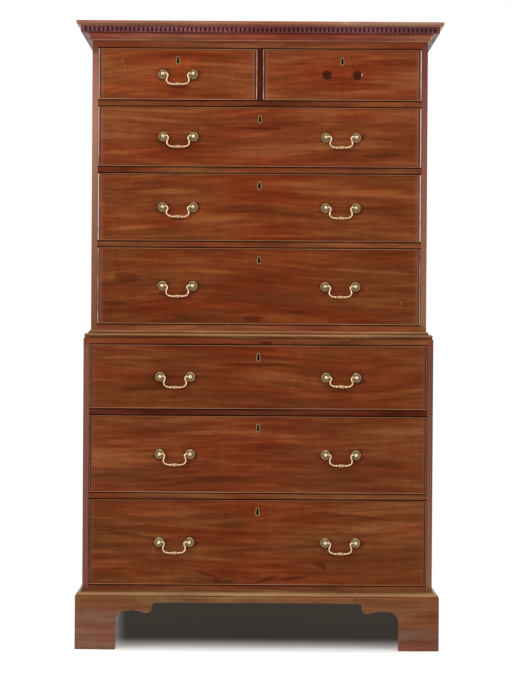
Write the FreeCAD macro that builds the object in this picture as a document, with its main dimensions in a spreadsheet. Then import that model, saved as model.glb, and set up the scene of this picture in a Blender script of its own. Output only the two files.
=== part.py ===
"""Chest on chest: two carcasses of drawers, one standing on the other.

Millimetres, +Z up, front towards -Y, origin on the floor under the middle of the piece.
The driving sizes are in the sheet Sizes; every piece is a document object bound to them.
"""
import FreeCAD, Part
import math
import os
import re

import Sketcher

SIZES = {
    # carcasses
    "upper_width": 992,
    "upper_depth": 500,
    "waist_step": 20,
    "base_step": 20,
    "side_board": 17,
    "carcass_board": 17,
    "back_board": 12,
    "back_rebate": 8,
    "back_board_gap": 0.6,
    "back_board_sink": 1,
    "rail_thickness": 20,
    "blade_height": 16.5,
    "blade_depth": 75,
    "partition_thickness": 14,
    "partition_setback": 2.5,
    "dust_board": 8,
    "runner_width": 30,
    "kicker_height": 18,
    "stop_height": 5,
    "stop_width": 40,
    "stop_depth": 30,
    # heights of what is stacked from the floor to the top
    "plinth_underside": 139.5,
    "plinth_height": 17,
    "lower_bottom_rail": 31.5,
    "row_seven": 255.5,
    "row_six": 231,
    "row_five": 192.5,
    "lower_top_rail": 18,
    "upper_bottom_rail": 39.5,
    "row_four": 229.5,
    "row_three": 203.5,
    "row_two": 180.5,
    "row_one": 155.5,
    "frieze_height": 68,
    "cornice_lip": 6,
    # mouldings
    "crown_height": 13,
    "crown_out": 44,
    "crown_cove": 9,
    "crown_arris": 1,
    "fascia_height": 8.5,
    "dentil_height": 19,
    "dentil_out": 32,
    "dentil_arris": 0.6,
    "dentil_pitch": 13,
    "dentil_slot": 5,
    "dentil_slot_depth": 8,
    "dentil_slot_foot": 2.2,
    "dentil_slot_height": 12.4,
    "bed_height": 22,
    "bed_out": 19,
    "bed_bead": 2.3,
    "waist_height": 22,
    "base_height": 20.5,
    "base_quirk": 1.6,
    "base_fillet": 1.5,
    # bracket feet
    "bracket_thickness": 22,
    "bracket_length": 250,
    "side_plinth_strip": 40,
    "foot_width": 119,
    "foot_arris": 2,
    "rear_brace_length": 130,
    "glue_block": 45,
    "glue_block_lift": 4,
    "batten": 20,
    "batten_length": 90,
    # drawers
    "drawer_gap": 2.4,
    "drawer_side_gap": 1.4,
    "drawer_lift": 2.2,
    "runner_clearance": 0.3,
    "front_thickness": 20,
    "drawer_rear_space": 12,
    "linings": 9,
    "bottom_board": 7,
    "bottom_inset": 9,
    "groove_depth": 4,
    "side_drop": 6,
    "back_drop": 6,
    "tail_length": 12,
    "tail_pitch": 44,
    "tail_width": 27,
    "tail_flare": 3,
    "strip_width": 10,
    "bead_thickness": 3,
    "bead_depth": 7,
    "bead_out": 2,
    # brassware
    "post_spacing": 90,
    "handle_reach_upper": 241,
    "handle_reach_lower": 245,
    "pivot_out": 13,
    "pommel_radius": 7,
    "shank_diameter": 5,
    "shank_tail": 7,
    "shank_clearance": 0.05,
    "rose_radius": 14.25,
    "rose_edge": 0.8,
    "rose_rim": 2.6,
    "rose_rim_foot": 0.8,
    "rose_dish": 1,
    "rose_boss": 1.9,
    "rose_boss_wall": 1.6,
    "post_neck": 1.2,
    "post_collar": 1,
    "nut_width": 11,
    "nut_thickness": 3,
    "bail_wire": 4.2,
    "pin_clearance": 0.05,
    "pin_reach": 3.5,
    "pin_slack": 0.5,
    "bail_drop": 31,
    "neck_radius": 4.5,
    "neck_slope": 15,
    "neck_length": 11.2,
    "neck_start": 34.5,
    "grip_radius": 5.2,
    "grip_length": 26,
    "collar_radius": 3.6,
    "collar_length": 2,
    "grip_taper": 6,
    "grip_step": 0.3,
    "grip_sink": 0.05,
    "keyhole_drop": 37,
    "escutcheon_width": 12.4,
    "escutcheon_height": 25,
    "escutcheon_depth": 3,
    "keyhole_width": 5.6,
    "keyhole_height": 17.5,
    "lock_width": 52,
    "lock_height": 34,
    "lock_depth": 10,
    "lock_plate": 2,
    "lock_lip": 4,
    "scar_radius": 12.5,
    "scar_depth": 0.7,
}

ROWS_LOWER = ["row_seven", "row_six", "row_five"]
ROWS_UPPER = ["row_four", "row_three", "row_two", "row_one"]

document = FreeCAD.newDocument("ChestOnChest")
sheet = document.addObject("Spreadsheet::Sheet", "Sizes")
for row, (alias, value) in enumerate(SIZES.items(), start=1):
    sheet.set(f"A{row}", alias)
    sheet.set(f"B{row}", str(value))
    sheet.setAlias(f"B{row}", alias)
document.recompute()

SIZE_WORD = re.compile(r"\b(" + "|".join(SIZES) + r")\b")
nodes = []


# ---------------------------------------------------------------- helpers
def bound(formula):
    """The formula with each size's name turned into a reference to the sheet."""
    return SIZE_WORD.sub(r"Sizes.\1", str(formula))


def number(formula):
    """What the formula comes to with the sheet's present values."""
    value = sheet.evalExpression(bound(formula))
    return float(getattr(value, "Value", value))


def place(piece, x=0, y=0, z=0, turn=None):
    """Put a piece at formulas x, y, z, turned by (axis, degrees)."""
    if turn:
        axis, degrees = turn
        rotation = FreeCAD.Rotation(FreeCAD.Vector(*axis), degrees)
        piece.Placement = FreeCAD.Placement(FreeCAD.Vector(), rotation)
    for letter, formula in zip("xyz", (x, y, z)):
        piece.setExpression(f"Placement.Base.{letter}", bound(formula))
    return piece


def box(name, size, at):
    """A squared board: size and lowest corner are formulas."""
    board = document.addObject("Part::Box", name)
    for side, formula in zip(("Length", "Width", "Height"), size):
        board.setExpression(side, bound(formula))
    return place(board, *at)


def rod(name, radius, length, at, turn=None):
    """A cylinder standing on the point at, turned by (axis, degrees)."""
    cylinder = document.addObject("Part::Cylinder", name)
    cylinder.setExpression("Radius", bound(radius))
    cylinder.setExpression("Height", bound(length))
    return place(cylinder, *at, turn=turn)


def fused(name, pieces):
    """One solid from pieces that meet."""
    if len(pieces) == 1:
        return pieces[0]
    union = document.addObject("Part::MultiFuse", name)
    union.Shapes = pieces
    return union


def cut(name, base, tools):
    """The base with every tool taken out of it."""
    if not tools:
        return base
    result = document.addObject("Part::Cut", name)
    result.Base = base
    result.Tool = fused(f"{name}_tools", tools)
    return result


def mirrored(name, source):
    """The same piece on the other side of the middle plane."""
    twin = document.addObject("Part::Mirroring", name)
    twin.Source = source
    twin.Normal = FreeCAD.Vector(1, 0, 0)
    return twin


def copy_of(source, name, x=0, y=0, z=0, turn=None):
    """Another of the same piece, standing at formulas x, y, z."""
    link = document.addObject("App::Link", name)
    link.LinkedObject = source
    if turn:
        axis, degrees = turn
        rotation = FreeCAD.Rotation(FreeCAD.Vector(*axis), degrees)
        link.LinkPlacement = FreeCAD.Placement(FreeCAD.Vector(), rotation)
    for letter, formula in zip("xyz", (x, y, z)):
        link.setExpression(f"LinkPlacement.Base.{letter}", bound(formula))
    return link


def node(name, pieces, at=(0, 0, 0)):
    """A named sub-part that holds one or more separate solids."""
    group = document.addObject("Part::Compound", name)
    group.Links = pieces
    place(group, *at)
    group.Label = name
    nodes.append(group)
    return group


def origin_part(body, role):
    """A plane or axis of the body's own origin."""
    return next(part for part in body.Origin.OriginFeatures if part.Role == role)


def sketch(body, name, plane, steps, offset=0, closed=True):
    """A sketch of straight and round steps, each point held by its two distances.

    A step is (u, v) for the next corner reached in a straight line, or
    (u, v, radius, turn) for one reached along an arc that turns "left" or "right".
    The radius is a formula, or a number that says how many chords long it is.
    """
    drawn = body.newObject("Sketcher::SketchObject", name)
    drawn.AttachmentSupport = [(origin_part(body, plane), "")]
    drawn.MapMode = "FlatFace"
    if offset:
        drawn.setExpression("AttachmentOffset.Base.z", bound(offset))
    corners = [(number(step[0]), number(step[1])) for step in steps]
    count = len(steps) if closed else len(steps) - 1
    ends = []
    for index in range(count):
        start, target = corners[index], corners[(index + 1) % len(steps)]
        step = steps[(index + 1) % len(steps)]
        if len(step) == 2:
            drawn.addGeometry(Part.LineSegment(FreeCAD.Vector(*start, 0), FreeCAD.Vector(*target, 0)))
            ends.append((1, 2))
            continue
        radius = arc_radius(steps[index], step)
        curve, start_end = arc_between(start, target, number(radius), step[3])
        drawn.addGeometry(curve)
        ends.append(start_end)
        held = drawn.addConstraint(Sketcher.Constraint("Radius", index, number(radius)))
        drawn.setExpression(f"Constraints[{held}]", bound(radius))
    for index in range(count):
        hold_point(drawn, index, ends[index][0], steps[index])
        following = (index + 1) % len(steps)
        if following < count:
            drawn.addConstraint(
                Sketcher.Constraint("Coincident", index, ends[index][1], following, ends[following][0])
            )
    if not closed:
        hold_point(drawn, count - 1, ends[-1][1], steps[-1])
    return drawn


def hold_point(drawn, geometry, end, step):
    """Hold one end of a sketch edge at its two distances from the origin."""
    for kind, formula in zip(("DistanceX", "DistanceY"), step[:2]):
        held = drawn.addConstraint(Sketcher.Constraint(kind, -1, 1, geometry, end, number(formula)))
        drawn.setExpression(f"Constraints[{held}]", bound(formula))


def arc_radius(start, step):
    """The formula of an arc step's radius: its own, or its share of the chord from the start."""
    if isinstance(step[2], str):
        return step[2]
    across, up = (f"(({step[side]}) - ({start[side]}))" for side in (0, 1))
    return f"{step[2]} * sqrt({across} ^ 2 + {up} ^ 2)"


def arc_between(start, target, radius, turn):
    """The shorter arc from start to target, and which of its ends is its start."""
    middle = ((start[0] + target[0]) / 2, (start[1] + target[1]) / 2)
    along = (target[0] - start[0], target[1] - start[1])
    chord = math.hypot(*along)
    rise = math.sqrt(max(radius * radius - chord * chord / 4, 0))
    side = 1 if turn == "left" else -1
    centre = (middle[0] - side * along[1] / chord * rise, middle[1] + side * along[0] / chord * rise)
    first, last = (start, target) if turn == "left" else (target, start)
    begin = math.atan2(first[1] - centre[1], first[0] - centre[0])
    finish = math.atan2(last[1] - centre[1], last[0] - centre[0])
    if finish < begin:
        finish += 2 * math.pi
    circle = Part.Circle(FreeCAD.Vector(*centre, 0), FreeCAD.Vector(0, 0, 1), radius)
    return Part.ArcOfCircle(circle, begin, finish), ((1, 2) if turn == "left" else (2, 1))


def padded(body, profile, length, symmetric=False, backwards=False):
    """A pad of the profile by a length."""
    pad = body.newObject("PartDesign::Pad", f"{body.Name}_pad")
    pad.Profile = profile
    pad.setExpression("Length", bound(length))
    pad.SideType = "Symmetric" if symmetric else "One side"
    pad.Reversed = backwards
    body.Tip = pad
    return pad


def pocketed(body, profile, name):
    """A pocket of the profile right through the body, both ways."""
    pocket = body.newObject("PartDesign::Pocket", f"{body.Name}_{name}")
    pocket.Profile = profile
    pocket.Type = "ThroughAll"
    pocket.SideType = "Symmetric"
    body.Tip = pocket
    return pocket


def run_of(name, profile, length, reach, ends, plane="XY_Plane"):
    """A run of moulding along X, its back on Y = 0 and its foot on Z = 0.

    profile holds (out, up) steps. Each end is "mitre", cut at 45 degrees outwards from
    half the length, or "square"; the cuts are drawn on the plane named.
    """
    body = document.addObject("PartDesign::Body", name)
    flipped = {"left": "right", "right": "left"}
    steps = []
    for step in profile:
        arc = (step[2], flipped[step[3]]) if len(step) == 4 else ()
        steps.append((f"-({step[0]})", step[1]) + arc)
    outline = sketch(body, f"{name}_outline", "YZ_Plane", steps)
    padded(body, outline, f"{length} + 2 * ({reach})", symmetric=True)
    outwards = -1 if plane == "XY_Plane" else 1
    for side, end in zip((-1, 1), ends):
        half = f"{side} * ({length}) / 2"
        far = f"{side} * (({length}) / 2 + 2 * ({reach}))"
        top = f"{outwards} * 2 * ({reach})"
        if end == "mitre":
            corners = [(half, "0"), (far, "0"), (far, top)]
        else:
            corners = [(half, f"-1 * ({top})"), (far, f"-1 * ({top})"), (far, top), (half, top)]
        cutter = sketch(body, f"{name}_end{side + 1}", plane, corners)
        pocketed(body, cutter, f"end{side + 1}_cut")
    return body


# ---------------------------------------------------------------- levels and planes
BACK = "((upper_depth + crown_out) / 2)"
UPPER_FRONT = f"({BACK} - upper_depth)"
LOWER_FRONT = f"({UPPER_FRONT} - waist_step)"
LOWER_WIDTH = "(upper_width + 2 * waist_step)"
LOWER_DEPTH = "(upper_depth + waist_step)"
LOWER_FOOT = "(plinth_underside + plinth_height)"
LOWER_OPENING = f"({LOWER_FOOT} + lower_bottom_rail)"
UPPER_INNER = "(upper_width - 2 * side_board)"
LOWER_INNER = f"({LOWER_WIDTH} - 2 * side_board)"


def levels(foot, rows):
    """The floor of each row's opening, going up, and the top of the last one."""
    floors = [foot]
    for row_height in rows:
        floors.append(f"({floors[-1]} + {row_height} + blade_height)")
    top = f"({floors.pop()} - blade_height)"
    return floors, top


LOWER_FLOORS, LOWER_OPENING_TOP = levels(LOWER_OPENING, ROWS_LOWER)
WAIST = f"({LOWER_OPENING_TOP} + lower_top_rail)"
UPPER_OPENING = f"({WAIST} + upper_bottom_rail)"
UPPER_FLOORS, UPPER_OPENING_TOP = levels(UPPER_OPENING, ROWS_UPPER)
CARCASS_TOP = f"({UPPER_OPENING_TOP} + frieze_height)"
CORNICE_TOP = f"({CARCASS_TOP} + cornice_lip)"


# ---------------------------------------------------------------- carcasses
def side_pair(case, width, depth, foot, top):
    """Two side boards, each rebated at its inner back edge for the back boards."""
    tall = f"{top} - {foot}"
    for side, corner, lip in (
        ("left", f"-{width} / 2", f"-{width} / 2 + side_board - back_rebate"),
        ("right", f"{width} / 2 - side_board", f"{width} / 2 - side_board"),
    ):
        name = f"{case}_side_{side}"
        board = box(f"{name}_board", ("side_board", depth, tall), (corner, f"{BACK} - {depth}", foot))
        rebated = ("back_rebate", "back_board", tall)
        rebate = box(f"{name}_rebate", rebated, (lip, f"{BACK} - back_board", foot))
        node(name, [cut(f"{name}_cut", board, [rebate])])


def back_boards(case, inner, foot, top, count=5):
    """Upright boards side by side in the rebates of the sides."""
    span = f"({inner} + 2 * back_rebate)"
    pitch = f"({span} / {count})"
    boards = []
    for index in range(count):
        boards.append(
            box(
                f"{case}_back_{index}",
                (
                    f"{pitch} - back_board_gap * {int(index < count - 1)}",
                    "back_board - back_board_sink",
                    f"{top} - {foot}",
                ),
                (f"-{span} / 2 + {index} * {pitch}", f"{BACK} - back_board", foot),
            )
        )
    node(f"{case}_back_boards", boards)


def level_boards(case, inner, front, blade_levels, split_level=None):
    """Runners, dust board and stops behind each blade, all with their tops at its top."""
    pieces = []
    start = f"({front} + blade_depth)"
    reach = f"({BACK} - back_board - {start})"
    for index, blade_foot in enumerate(blade_levels):
        middles = [f"-{inner} / 2", f"{inner} / 2 - runner_width"]
        widths = ["runner_width", "runner_width"]
        if blade_foot == split_level:
            middles.insert(1, "-(2 * runner_width + partition_thickness) / 2")
            widths.insert(1, "2 * runner_width + partition_thickness")
        for place_index, (corner, width) in enumerate(zip(middles, widths)):
            runner = (width, reach, "blade_height")
            pieces.append(box(f"{case}_runner_{index}_{place_index}", runner, (corner, start, blade_foot)))
        for place_index in range(len(middles) - 1):
            west = f"({middles[place_index]} + {widths[place_index]})"
            panel = (f"{middles[place_index + 1]} - {west}", reach, "dust_board")
            rise = f"{blade_foot} + (blade_height - dust_board) / 2"
            pieces.append(box(f"{case}_dust_{index}_{place_index}", panel, (west, start, rise)))
    return pieces


def stops(name, front, floor, middles):
    """Small oak blocks glued behind the drawer front, which meets them when it is shut."""
    behind = f"{front} + front_thickness + runner_clearance"
    block = ("stop_width", "stop_depth", "stop_height")
    return [
        box(f"{name}_{index}", block, (f"{middle} - stop_width / 2", behind, floor))
        for index, middle in enumerate(middles)
    ]


def cross_board(name, inner, depth, front, thickness, foot):
    """A board from side to side, from behind the front rails to the back boards."""
    size = (inner, f"{depth} - rail_thickness - back_board", thickness)
    node(name, [box(f"{name}_plank", size, (f"-{inner} / 2", f"{front} + rail_thickness", foot))])


side_pair("lower", LOWER_WIDTH, LOWER_DEPTH, LOWER_FOOT, WAIST)
side_pair("upper", "upper_width", "upper_depth", WAIST, CARCASS_TOP)

cross_board("lower_top_board", LOWER_INNER, LOWER_DEPTH, LOWER_FRONT, "lower_top_rail", LOWER_OPENING_TOP)
cross_board(
    "lower_bottom_board",
    LOWER_INNER,
    LOWER_DEPTH,
    LOWER_FRONT,
    "carcass_board",
    f"{LOWER_OPENING} - carcass_board",
)
cross_board(
    "upper_top_board",
    UPPER_INNER,
    "upper_depth",
    UPPER_FRONT,
    "carcass_board",
    f"{CARCASS_TOP} - carcass_board",
)
cross_board(
    "upper_bottom_board",
    UPPER_INNER,
    "upper_depth",
    UPPER_FRONT,
    "carcass_board",
    f"{UPPER_OPENING} - carcass_board",
)
back_boards("lower", LOWER_INNER, LOWER_FOOT, WAIST)
back_boards("upper", UPPER_INNER, WAIST, CARCASS_TOP)

# front rails and blades
node(
    "lower_rails_and_blades",
    [
        box(
            "lower_bottom_rail_board",
            (LOWER_INNER, "rail_thickness", "lower_bottom_rail"),
            (f"-{LOWER_INNER} / 2", LOWER_FRONT, LOWER_FOOT),
        ),
        box(
            "lower_top_rail_board",
            (LOWER_INNER, "rail_thickness", "lower_top_rail"),
            (f"-{LOWER_INNER} / 2", LOWER_FRONT, LOWER_OPENING_TOP),
        ),
    ]
    + [
        box(
            f"lower_blade_{index}",
            (LOWER_INNER, "blade_depth", "blade_height"),
            (f"-{LOWER_INNER} / 2", LOWER_FRONT, f"{floor} - blade_height"),
        )
        for index, floor in enumerate(LOWER_FLOORS[1:])
    ],
)
node(
    "upper_drawer_blades",
    [
        box(
            f"upper_blade_{index}",
            (UPPER_INNER, "blade_depth", "blade_height"),
            (f"-{UPPER_INNER} / 2", UPPER_FRONT, f"{floor} - blade_height"),
        )
        for index, floor in enumerate(UPPER_FLOORS[1:])
    ],
)
node(
    "upper_frieze_and_bottom_rail",
    [
        box(
            "frieze_board",
            (UPPER_INNER, "rail_thickness", "frieze_height"),
            (f"-{UPPER_INNER} / 2", UPPER_FRONT, UPPER_OPENING_TOP),
        ),
        box(
            "upper_bottom_rail_board",
            (UPPER_INNER, "rail_thickness", "upper_bottom_rail"),
            (f"-{UPPER_INNER} / 2", UPPER_FRONT, WAIST),
        ),
    ],
)

# the upright partition between the two short drawers, notched round the frieze board
partition_board = box(
    "partition_board",
    (
        "partition_thickness",
        f"{BACK} - back_board - {UPPER_FRONT} - partition_setback",
        f"{CARCASS_TOP} - carcass_board - {UPPER_FLOORS[-1]}",
    ),
    ("-partition_thickness / 2", f"{UPPER_FRONT} + partition_setback", UPPER_FLOORS[-1]),
)
partition_notch = box(
    "partition_notch",
    ("partition_thickness", "rail_thickness - partition_setback", "frieze_height"),
    ("-partition_thickness / 2", f"{UPPER_FRONT} + partition_setback", UPPER_OPENING_TOP),
)
node("upper_partition", [cut("partition_cut", partition_board, [partition_notch])])

STOP_REACH = "(upper_width / 4)"
lower_inside = level_boards(
    "lower", LOWER_INNER, LOWER_FRONT, [f"({floor} - blade_height)" for floor in LOWER_FLOORS[1:]]
)
for index, floor in enumerate(LOWER_FLOORS):
    lower_inside += stops(f"lower_stop_{index}", LOWER_FRONT, floor, [f"-{STOP_REACH}", STOP_REACH])
node("lower_runners_and_dust_boards", lower_inside)

split = f"({UPPER_FLOORS[-1]} - blade_height)"
upper_inside = level_boards(
    "upper", UPPER_INNER, UPPER_FRONT, [f"({floor} - blade_height)" for floor in UPPER_FLOORS[1:]], split
)
for index, floor in enumerate(UPPER_FLOORS):
    upper_inside += stops(f"upper_stop_{index}", UPPER_FRONT, floor, [f"-{STOP_REACH}", STOP_REACH])
kicker_start = f"({UPPER_FRONT} + rail_thickness)"
kicker_corners = [
    f"-{UPPER_INNER} / 2",
    "-partition_thickness / 2 - runner_width",
    "partition_thickness / 2",
    f"{UPPER_INNER} / 2 - runner_width",
]
for index, corner in enumerate(kicker_corners):
    upper_inside.append(
        box(
            f"kicker_{index}",
            ("runner_width", f"{BACK} - back_board - {kicker_start}", "kicker_height"),
            (corner, kicker_start, UPPER_OPENING_TOP),
        )
    )
node("upper_runners_and_dust_boards", upper_inside)

# ---------------------------------------------------------------- mouldings
# half a circle, as the radius in chords; the little over keeps the arc from closing up
HALF_ROUND = 0.50005
CROWN = [
    ("0", "0"),
    ("crown_out - crown_cove", "0"),
    ("crown_out", "crown_height - fascia_height", 0.994, "right"),
    ("crown_out", "crown_height - crown_arris"),
    ("crown_out - crown_arris", "crown_height", 0.7072, "left"),
    ("0", "crown_height"),
]
DENTIL = [
    ("0", "0"),
    ("dentil_out - dentil_arris", "0"),
    ("dentil_out", "dentil_arris"),
    ("dentil_out", "dentil_height"),
    ("0", "dentil_height"),
]
BED = [
    ("0", "0"),
    ("bed_bead * 2.4", "0"),
    ("bed_bead * 2.4", "bed_bead * 2", HALF_ROUND, "left"),
    ("bed_out * 0.56", "bed_height * 0.72", 1.943, "right"),
    ("bed_out", "bed_height", 1.348, "right"),
    ("0", "bed_height"),
]
WAIST_PROFILE = [
    ("0", "0"),
    ("waist_step * 0.84", "0"),
    ("waist_step * 0.84", "waist_height * 0.18"),
    ("waist_step * 0.675", "waist_height * 0.58", 0.553, "left"),
    ("waist_step * 0.27", "waist_height * 0.78", 0.976, "right"),
    ("waist_step * 0.1", "waist_height", 0.676, "left"),
    ("0", "waist_height"),
]
BASE_PROFILE = [
    ("0", "0"),
    ("base_step - base_quirk", "0"),
    ("base_step - base_quirk", "base_height * 0.12"),
    ("base_step * 0.58", "base_height * 0.55", 0.862, "left"),
    ("base_step * 0.1", "base_height - base_fillet", 0.933, "right"),
    ("base_step * 0.1", "base_height"),
    ("0", "base_height"),
]


def moulding(name, profile, height_at, width, depth, front, reach, finish=None):
    """A front length and two returns, mitred at the front corners."""
    lengths = []
    for part_name, length, ends in (
        ("front", width, ("mitre", "mitre")),
        ("left", depth, ("square", "mitre")),
        ("right", depth, ("mitre", "square")),
    ):
        run = run_of(f"{name}_{part_name}", profile, length, reach, ends)
        if finish:
            finish(run, length, reach)
        lengths.append(run)
    place(lengths[0], 0, front, height_at)
    place(lengths[1], f"-{width} / 2", f"{front} + {depth} / 2", height_at, ((0, 0, 1), -90))
    place(lengths[2], f"{width} / 2", f"{front} + {depth} / 2", height_at, ((0, 0, 1), 90))
    return lengths


def slotted(run, length, reach):
    """A row of upright slots in the face of a dentil course, one every pitch."""
    foot = "dentil_slot_foot"
    head = "dentil_slot_foot + dentil_slot_height"
    span = number(f"{length} + 2 * dentil_out") - number("dentil_pitch") / 2
    count = int(span // number("dentil_pitch"))
    first = f"-{(count - 1)} * dentil_pitch / 2"
    corners = [
        (f"{first} - dentil_slot / 2", foot),
        (f"{first} + dentil_slot / 2", foot),
        (f"{first} + dentil_slot / 2", head),
        (f"{first} - dentil_slot / 2", head),
    ]
    outline = sketch(run, f"{run.Name}_slot", "XZ_Plane", corners, offset="dentil_out")
    slot = run.newObject("PartDesign::Pocket", f"{run.Name}_slot_cut")
    slot.Profile = outline
    slot.setExpression("Length", bound("dentil_slot_depth"))
    run.Tip = slot
    document.recompute()
    row = run.newObject("PartDesign::LinearPattern", f"{run.Name}_slots")
    row.Originals = [slot]
    row.Direction = (origin_part(run, "X_Axis"), [""])
    row.setExpression("Length", bound(f"{count - 1} * dentil_pitch"))
    row.Occurrences = count
    run.Tip = row


BED_FOOT = f"({CORNICE_TOP} - crown_height - dentil_height - bed_height)"
node(
    "cornice_bed_moulding",
    moulding("bed", BED, BED_FOOT, "upper_width", "upper_depth", UPPER_FRONT, "bed_out"),
)
node(
    "cornice_dentil_course",
    moulding(
        "dentil",
        DENTIL,
        f"{BED_FOOT} + bed_height",
        "upper_width",
        "upper_depth",
        UPPER_FRONT,
        "dentil_out",
        slotted,
    ),
)
node(
    "cornice_crown_moulding",
    moulding(
        "crown",
        CROWN,
        f"{CORNICE_TOP} - crown_height",
        "upper_width",
        "upper_depth",
        UPPER_FRONT,
        "crown_out",
    ),
)
node(
    "waist_moulding",
    moulding("waist", WAIST_PROFILE, WAIST, "upper_width", "upper_depth", UPPER_FRONT, "waist_step"),
)

# base moulding, with a plain plinth strip under it between the feet
PLINTH = [
    ("base_step - bracket_thickness", "0"),
    ("base_step", "0"),
    ("base_step", "plinth_height"),
    ("base_step - bracket_thickness", "plinth_height"),
]
PLINTH_WIDTH = f"({LOWER_WIDTH} + 2 * base_step)"
PLINTH_DEPTH = f"({LOWER_DEPTH} + base_step)"
SIDE_BRACKET = f"(({PLINTH_DEPTH} - side_plinth_strip) / 2)"
front_strip = box(
    "plinth_front",
    (f"{PLINTH_WIDTH} - 2 * bracket_length", "bracket_thickness", "plinth_height"),
    (f"-({PLINTH_WIDTH} - 2 * bracket_length) / 2", f"{LOWER_FRONT} - base_step", "plinth_underside"),
)
side_strip = box(
    "plinth_side",
    ("bracket_thickness", "side_plinth_strip", "plinth_height"),
    (f"-{PLINTH_WIDTH} / 2", f"{LOWER_FRONT} - base_step + {SIDE_BRACKET}", "plinth_underside"),
)
node(
    "base_moulding_and_plinth",
    moulding("base", BASE_PROFILE, LOWER_FOOT, LOWER_WIDTH, LOWER_DEPTH, LOWER_FRONT, "base_step")
    + [front_strip, side_strip, mirrored("plinth_side_right", side_strip)],
)

# ---------------------------------------------------------------- bracket feet
def bracket_steps(length):
    """(along, up) from the outer corner on the floor, for a bracket of the length given.

    A straight leg, a quarter hollow, a cusp, a slow swelling curve and a lobe that turns
    up into the plinth strip. The curves take their shares of the reach beyond the leg
    and of the height under the strip.
    """

    def at(reach_share, height_share):
        return f"foot_width + {reach_share} * ({length} - foot_width)", f"{height_share} * plinth_underside"

    return [
        ("0", "0"),
        ("foot_width - foot_arris", "0"),
        ("foot_width", "foot_arris", 0.7072, "left"),
        at(0, 0.638),
        at(0.2595, 0.8244) + (0.748, "right"),
        at(0.3282, 0.8272),
        at(0.3664, 0.843),
        at(0.6412, 0.7857) + (4.067, "right"),
        at(0.7939, 0.81) + (1.0845, "left"),
        at(0.8206, 0.9176) + (1.428, "left"),
        at(0.9008, 1) + (0.7706, "right"),
        (length, "plinth_underside"),
        (length, LOWER_FOOT),
        ("0", LOWER_FOOT),
    ]


def bracket(name, length, sign, end):
    """A shaped bracket, its outer face on Y = 0, running from the corner along sign * X."""
    body = document.addObject("PartDesign::Body", name)
    flipped = {"left": "right", "right": "left"}
    steps = []
    for step in bracket_steps(length):
        arc = ()
        if len(step) == 4:
            arc = (step[2], step[3] if sign > 0 else flipped[step[3]])
        steps.append((f"{sign} * ({step[0]})", step[1]) + arc)
    outline = sketch(body, f"{name}_outline", "XZ_Plane", steps)
    padded(body, outline, "bracket_thickness", backwards=True)
    if end == "mitre":
        inside = f"{sign} * bracket_thickness"
        corners = [("0", "0"), (inside, "bracket_thickness"), ("0", "bracket_thickness")]
        corner_cut = sketch(body, f"{name}_mitre", "XY_Plane", corners)
        pocketed(body, corner_cut, "mitre_cut")
    return body


FOOT_EDGE = f"({PLINTH_WIDTH} / 2)"
FOOT_FRONT = f"({LOWER_FRONT} - base_step)"


def corner_blocks(name, x, y_front, x_way, y_way):
    """The upright block in a foot's corner and the two battens under the carcass."""
    inner_x = f"{x} + {x_way} * bracket_thickness"
    inner_y = f"{y_front} + {y_way} * bracket_thickness"

    def block(part_name, size_x, size_y, size_z, shift_x, shift_y, foot):
        corner_x = f"{inner_x} + {x_way} * {shift_x}" + (f" - {size_x}" if x_way < 0 else "")
        corner_y = f"{inner_y} + {y_way} * {shift_y}" + (f" - {size_y}" if y_way < 0 else "")
        return box(f"{name}_{part_name}", (size_x, size_y, size_z), (corner_x, corner_y, foot))

    tall = f"{LOWER_FOOT} - glue_block_lift"
    under = f"{LOWER_FOOT} - batten"
    return [
        block("post", "glue_block", "glue_block", tall, "0", "0", "glue_block_lift"),
        block("batten_across", "batten_length", "batten", "batten", "glue_block", "0", under),
        block("batten_along", "batten", "batten_length", "batten", "0", "glue_block", under),
    ]


QUARTER_TURN = ((0, 0, 1), -90)
front_left = [
    place(bracket("foot_front_left", "bracket_length", 1, "mitre"), f"-{FOOT_EDGE}", FOOT_FRONT),
    place(bracket("foot_side_left", SIDE_BRACKET, -1, "mitre"), f"-{FOOT_EDGE}", FOOT_FRONT, 0, QUARTER_TURN),
]
front_left += corner_blocks("foot_blocks_front", f"-{FOOT_EDGE}", FOOT_FRONT, 1, 1)
node(
    "front_bracket_feet",
    front_left + [mirrored(f"{piece.Name}_twin", piece) for piece in front_left],
)

# rear feet: the same bracket on the side, and a plain brace across behind it
rear_brace = document.addObject("PartDesign::Body", "rear_brace")
brace_outline = sketch(
    rear_brace,
    "rear_brace_outline",
    "XZ_Plane",
    [
        ("bracket_thickness", "0"),
        ("foot_width * 0.6", "0"),
        ("rear_brace_length", "plinth_underside * 0.7"),
        ("rear_brace_length", LOWER_FOOT),
        ("bracket_thickness", LOWER_FOOT),
    ],
)
padded(rear_brace, brace_outline, "bracket_thickness")
rear_left = [
    place(bracket("foot_rear_left", SIDE_BRACKET, 1, "square"), f"-{FOOT_EDGE}", BACK, 0, QUARTER_TURN),
    place(rear_brace, f"-{FOOT_EDGE}", BACK),
]
rear_left += corner_blocks("foot_blocks_rear", f"-{FOOT_EDGE}", BACK, 1, -1)
node(
    "rear_bracket_feet",
    rear_left + [mirrored(f"{piece.Name}_twin", piece) for piece in rear_left],
)

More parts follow.
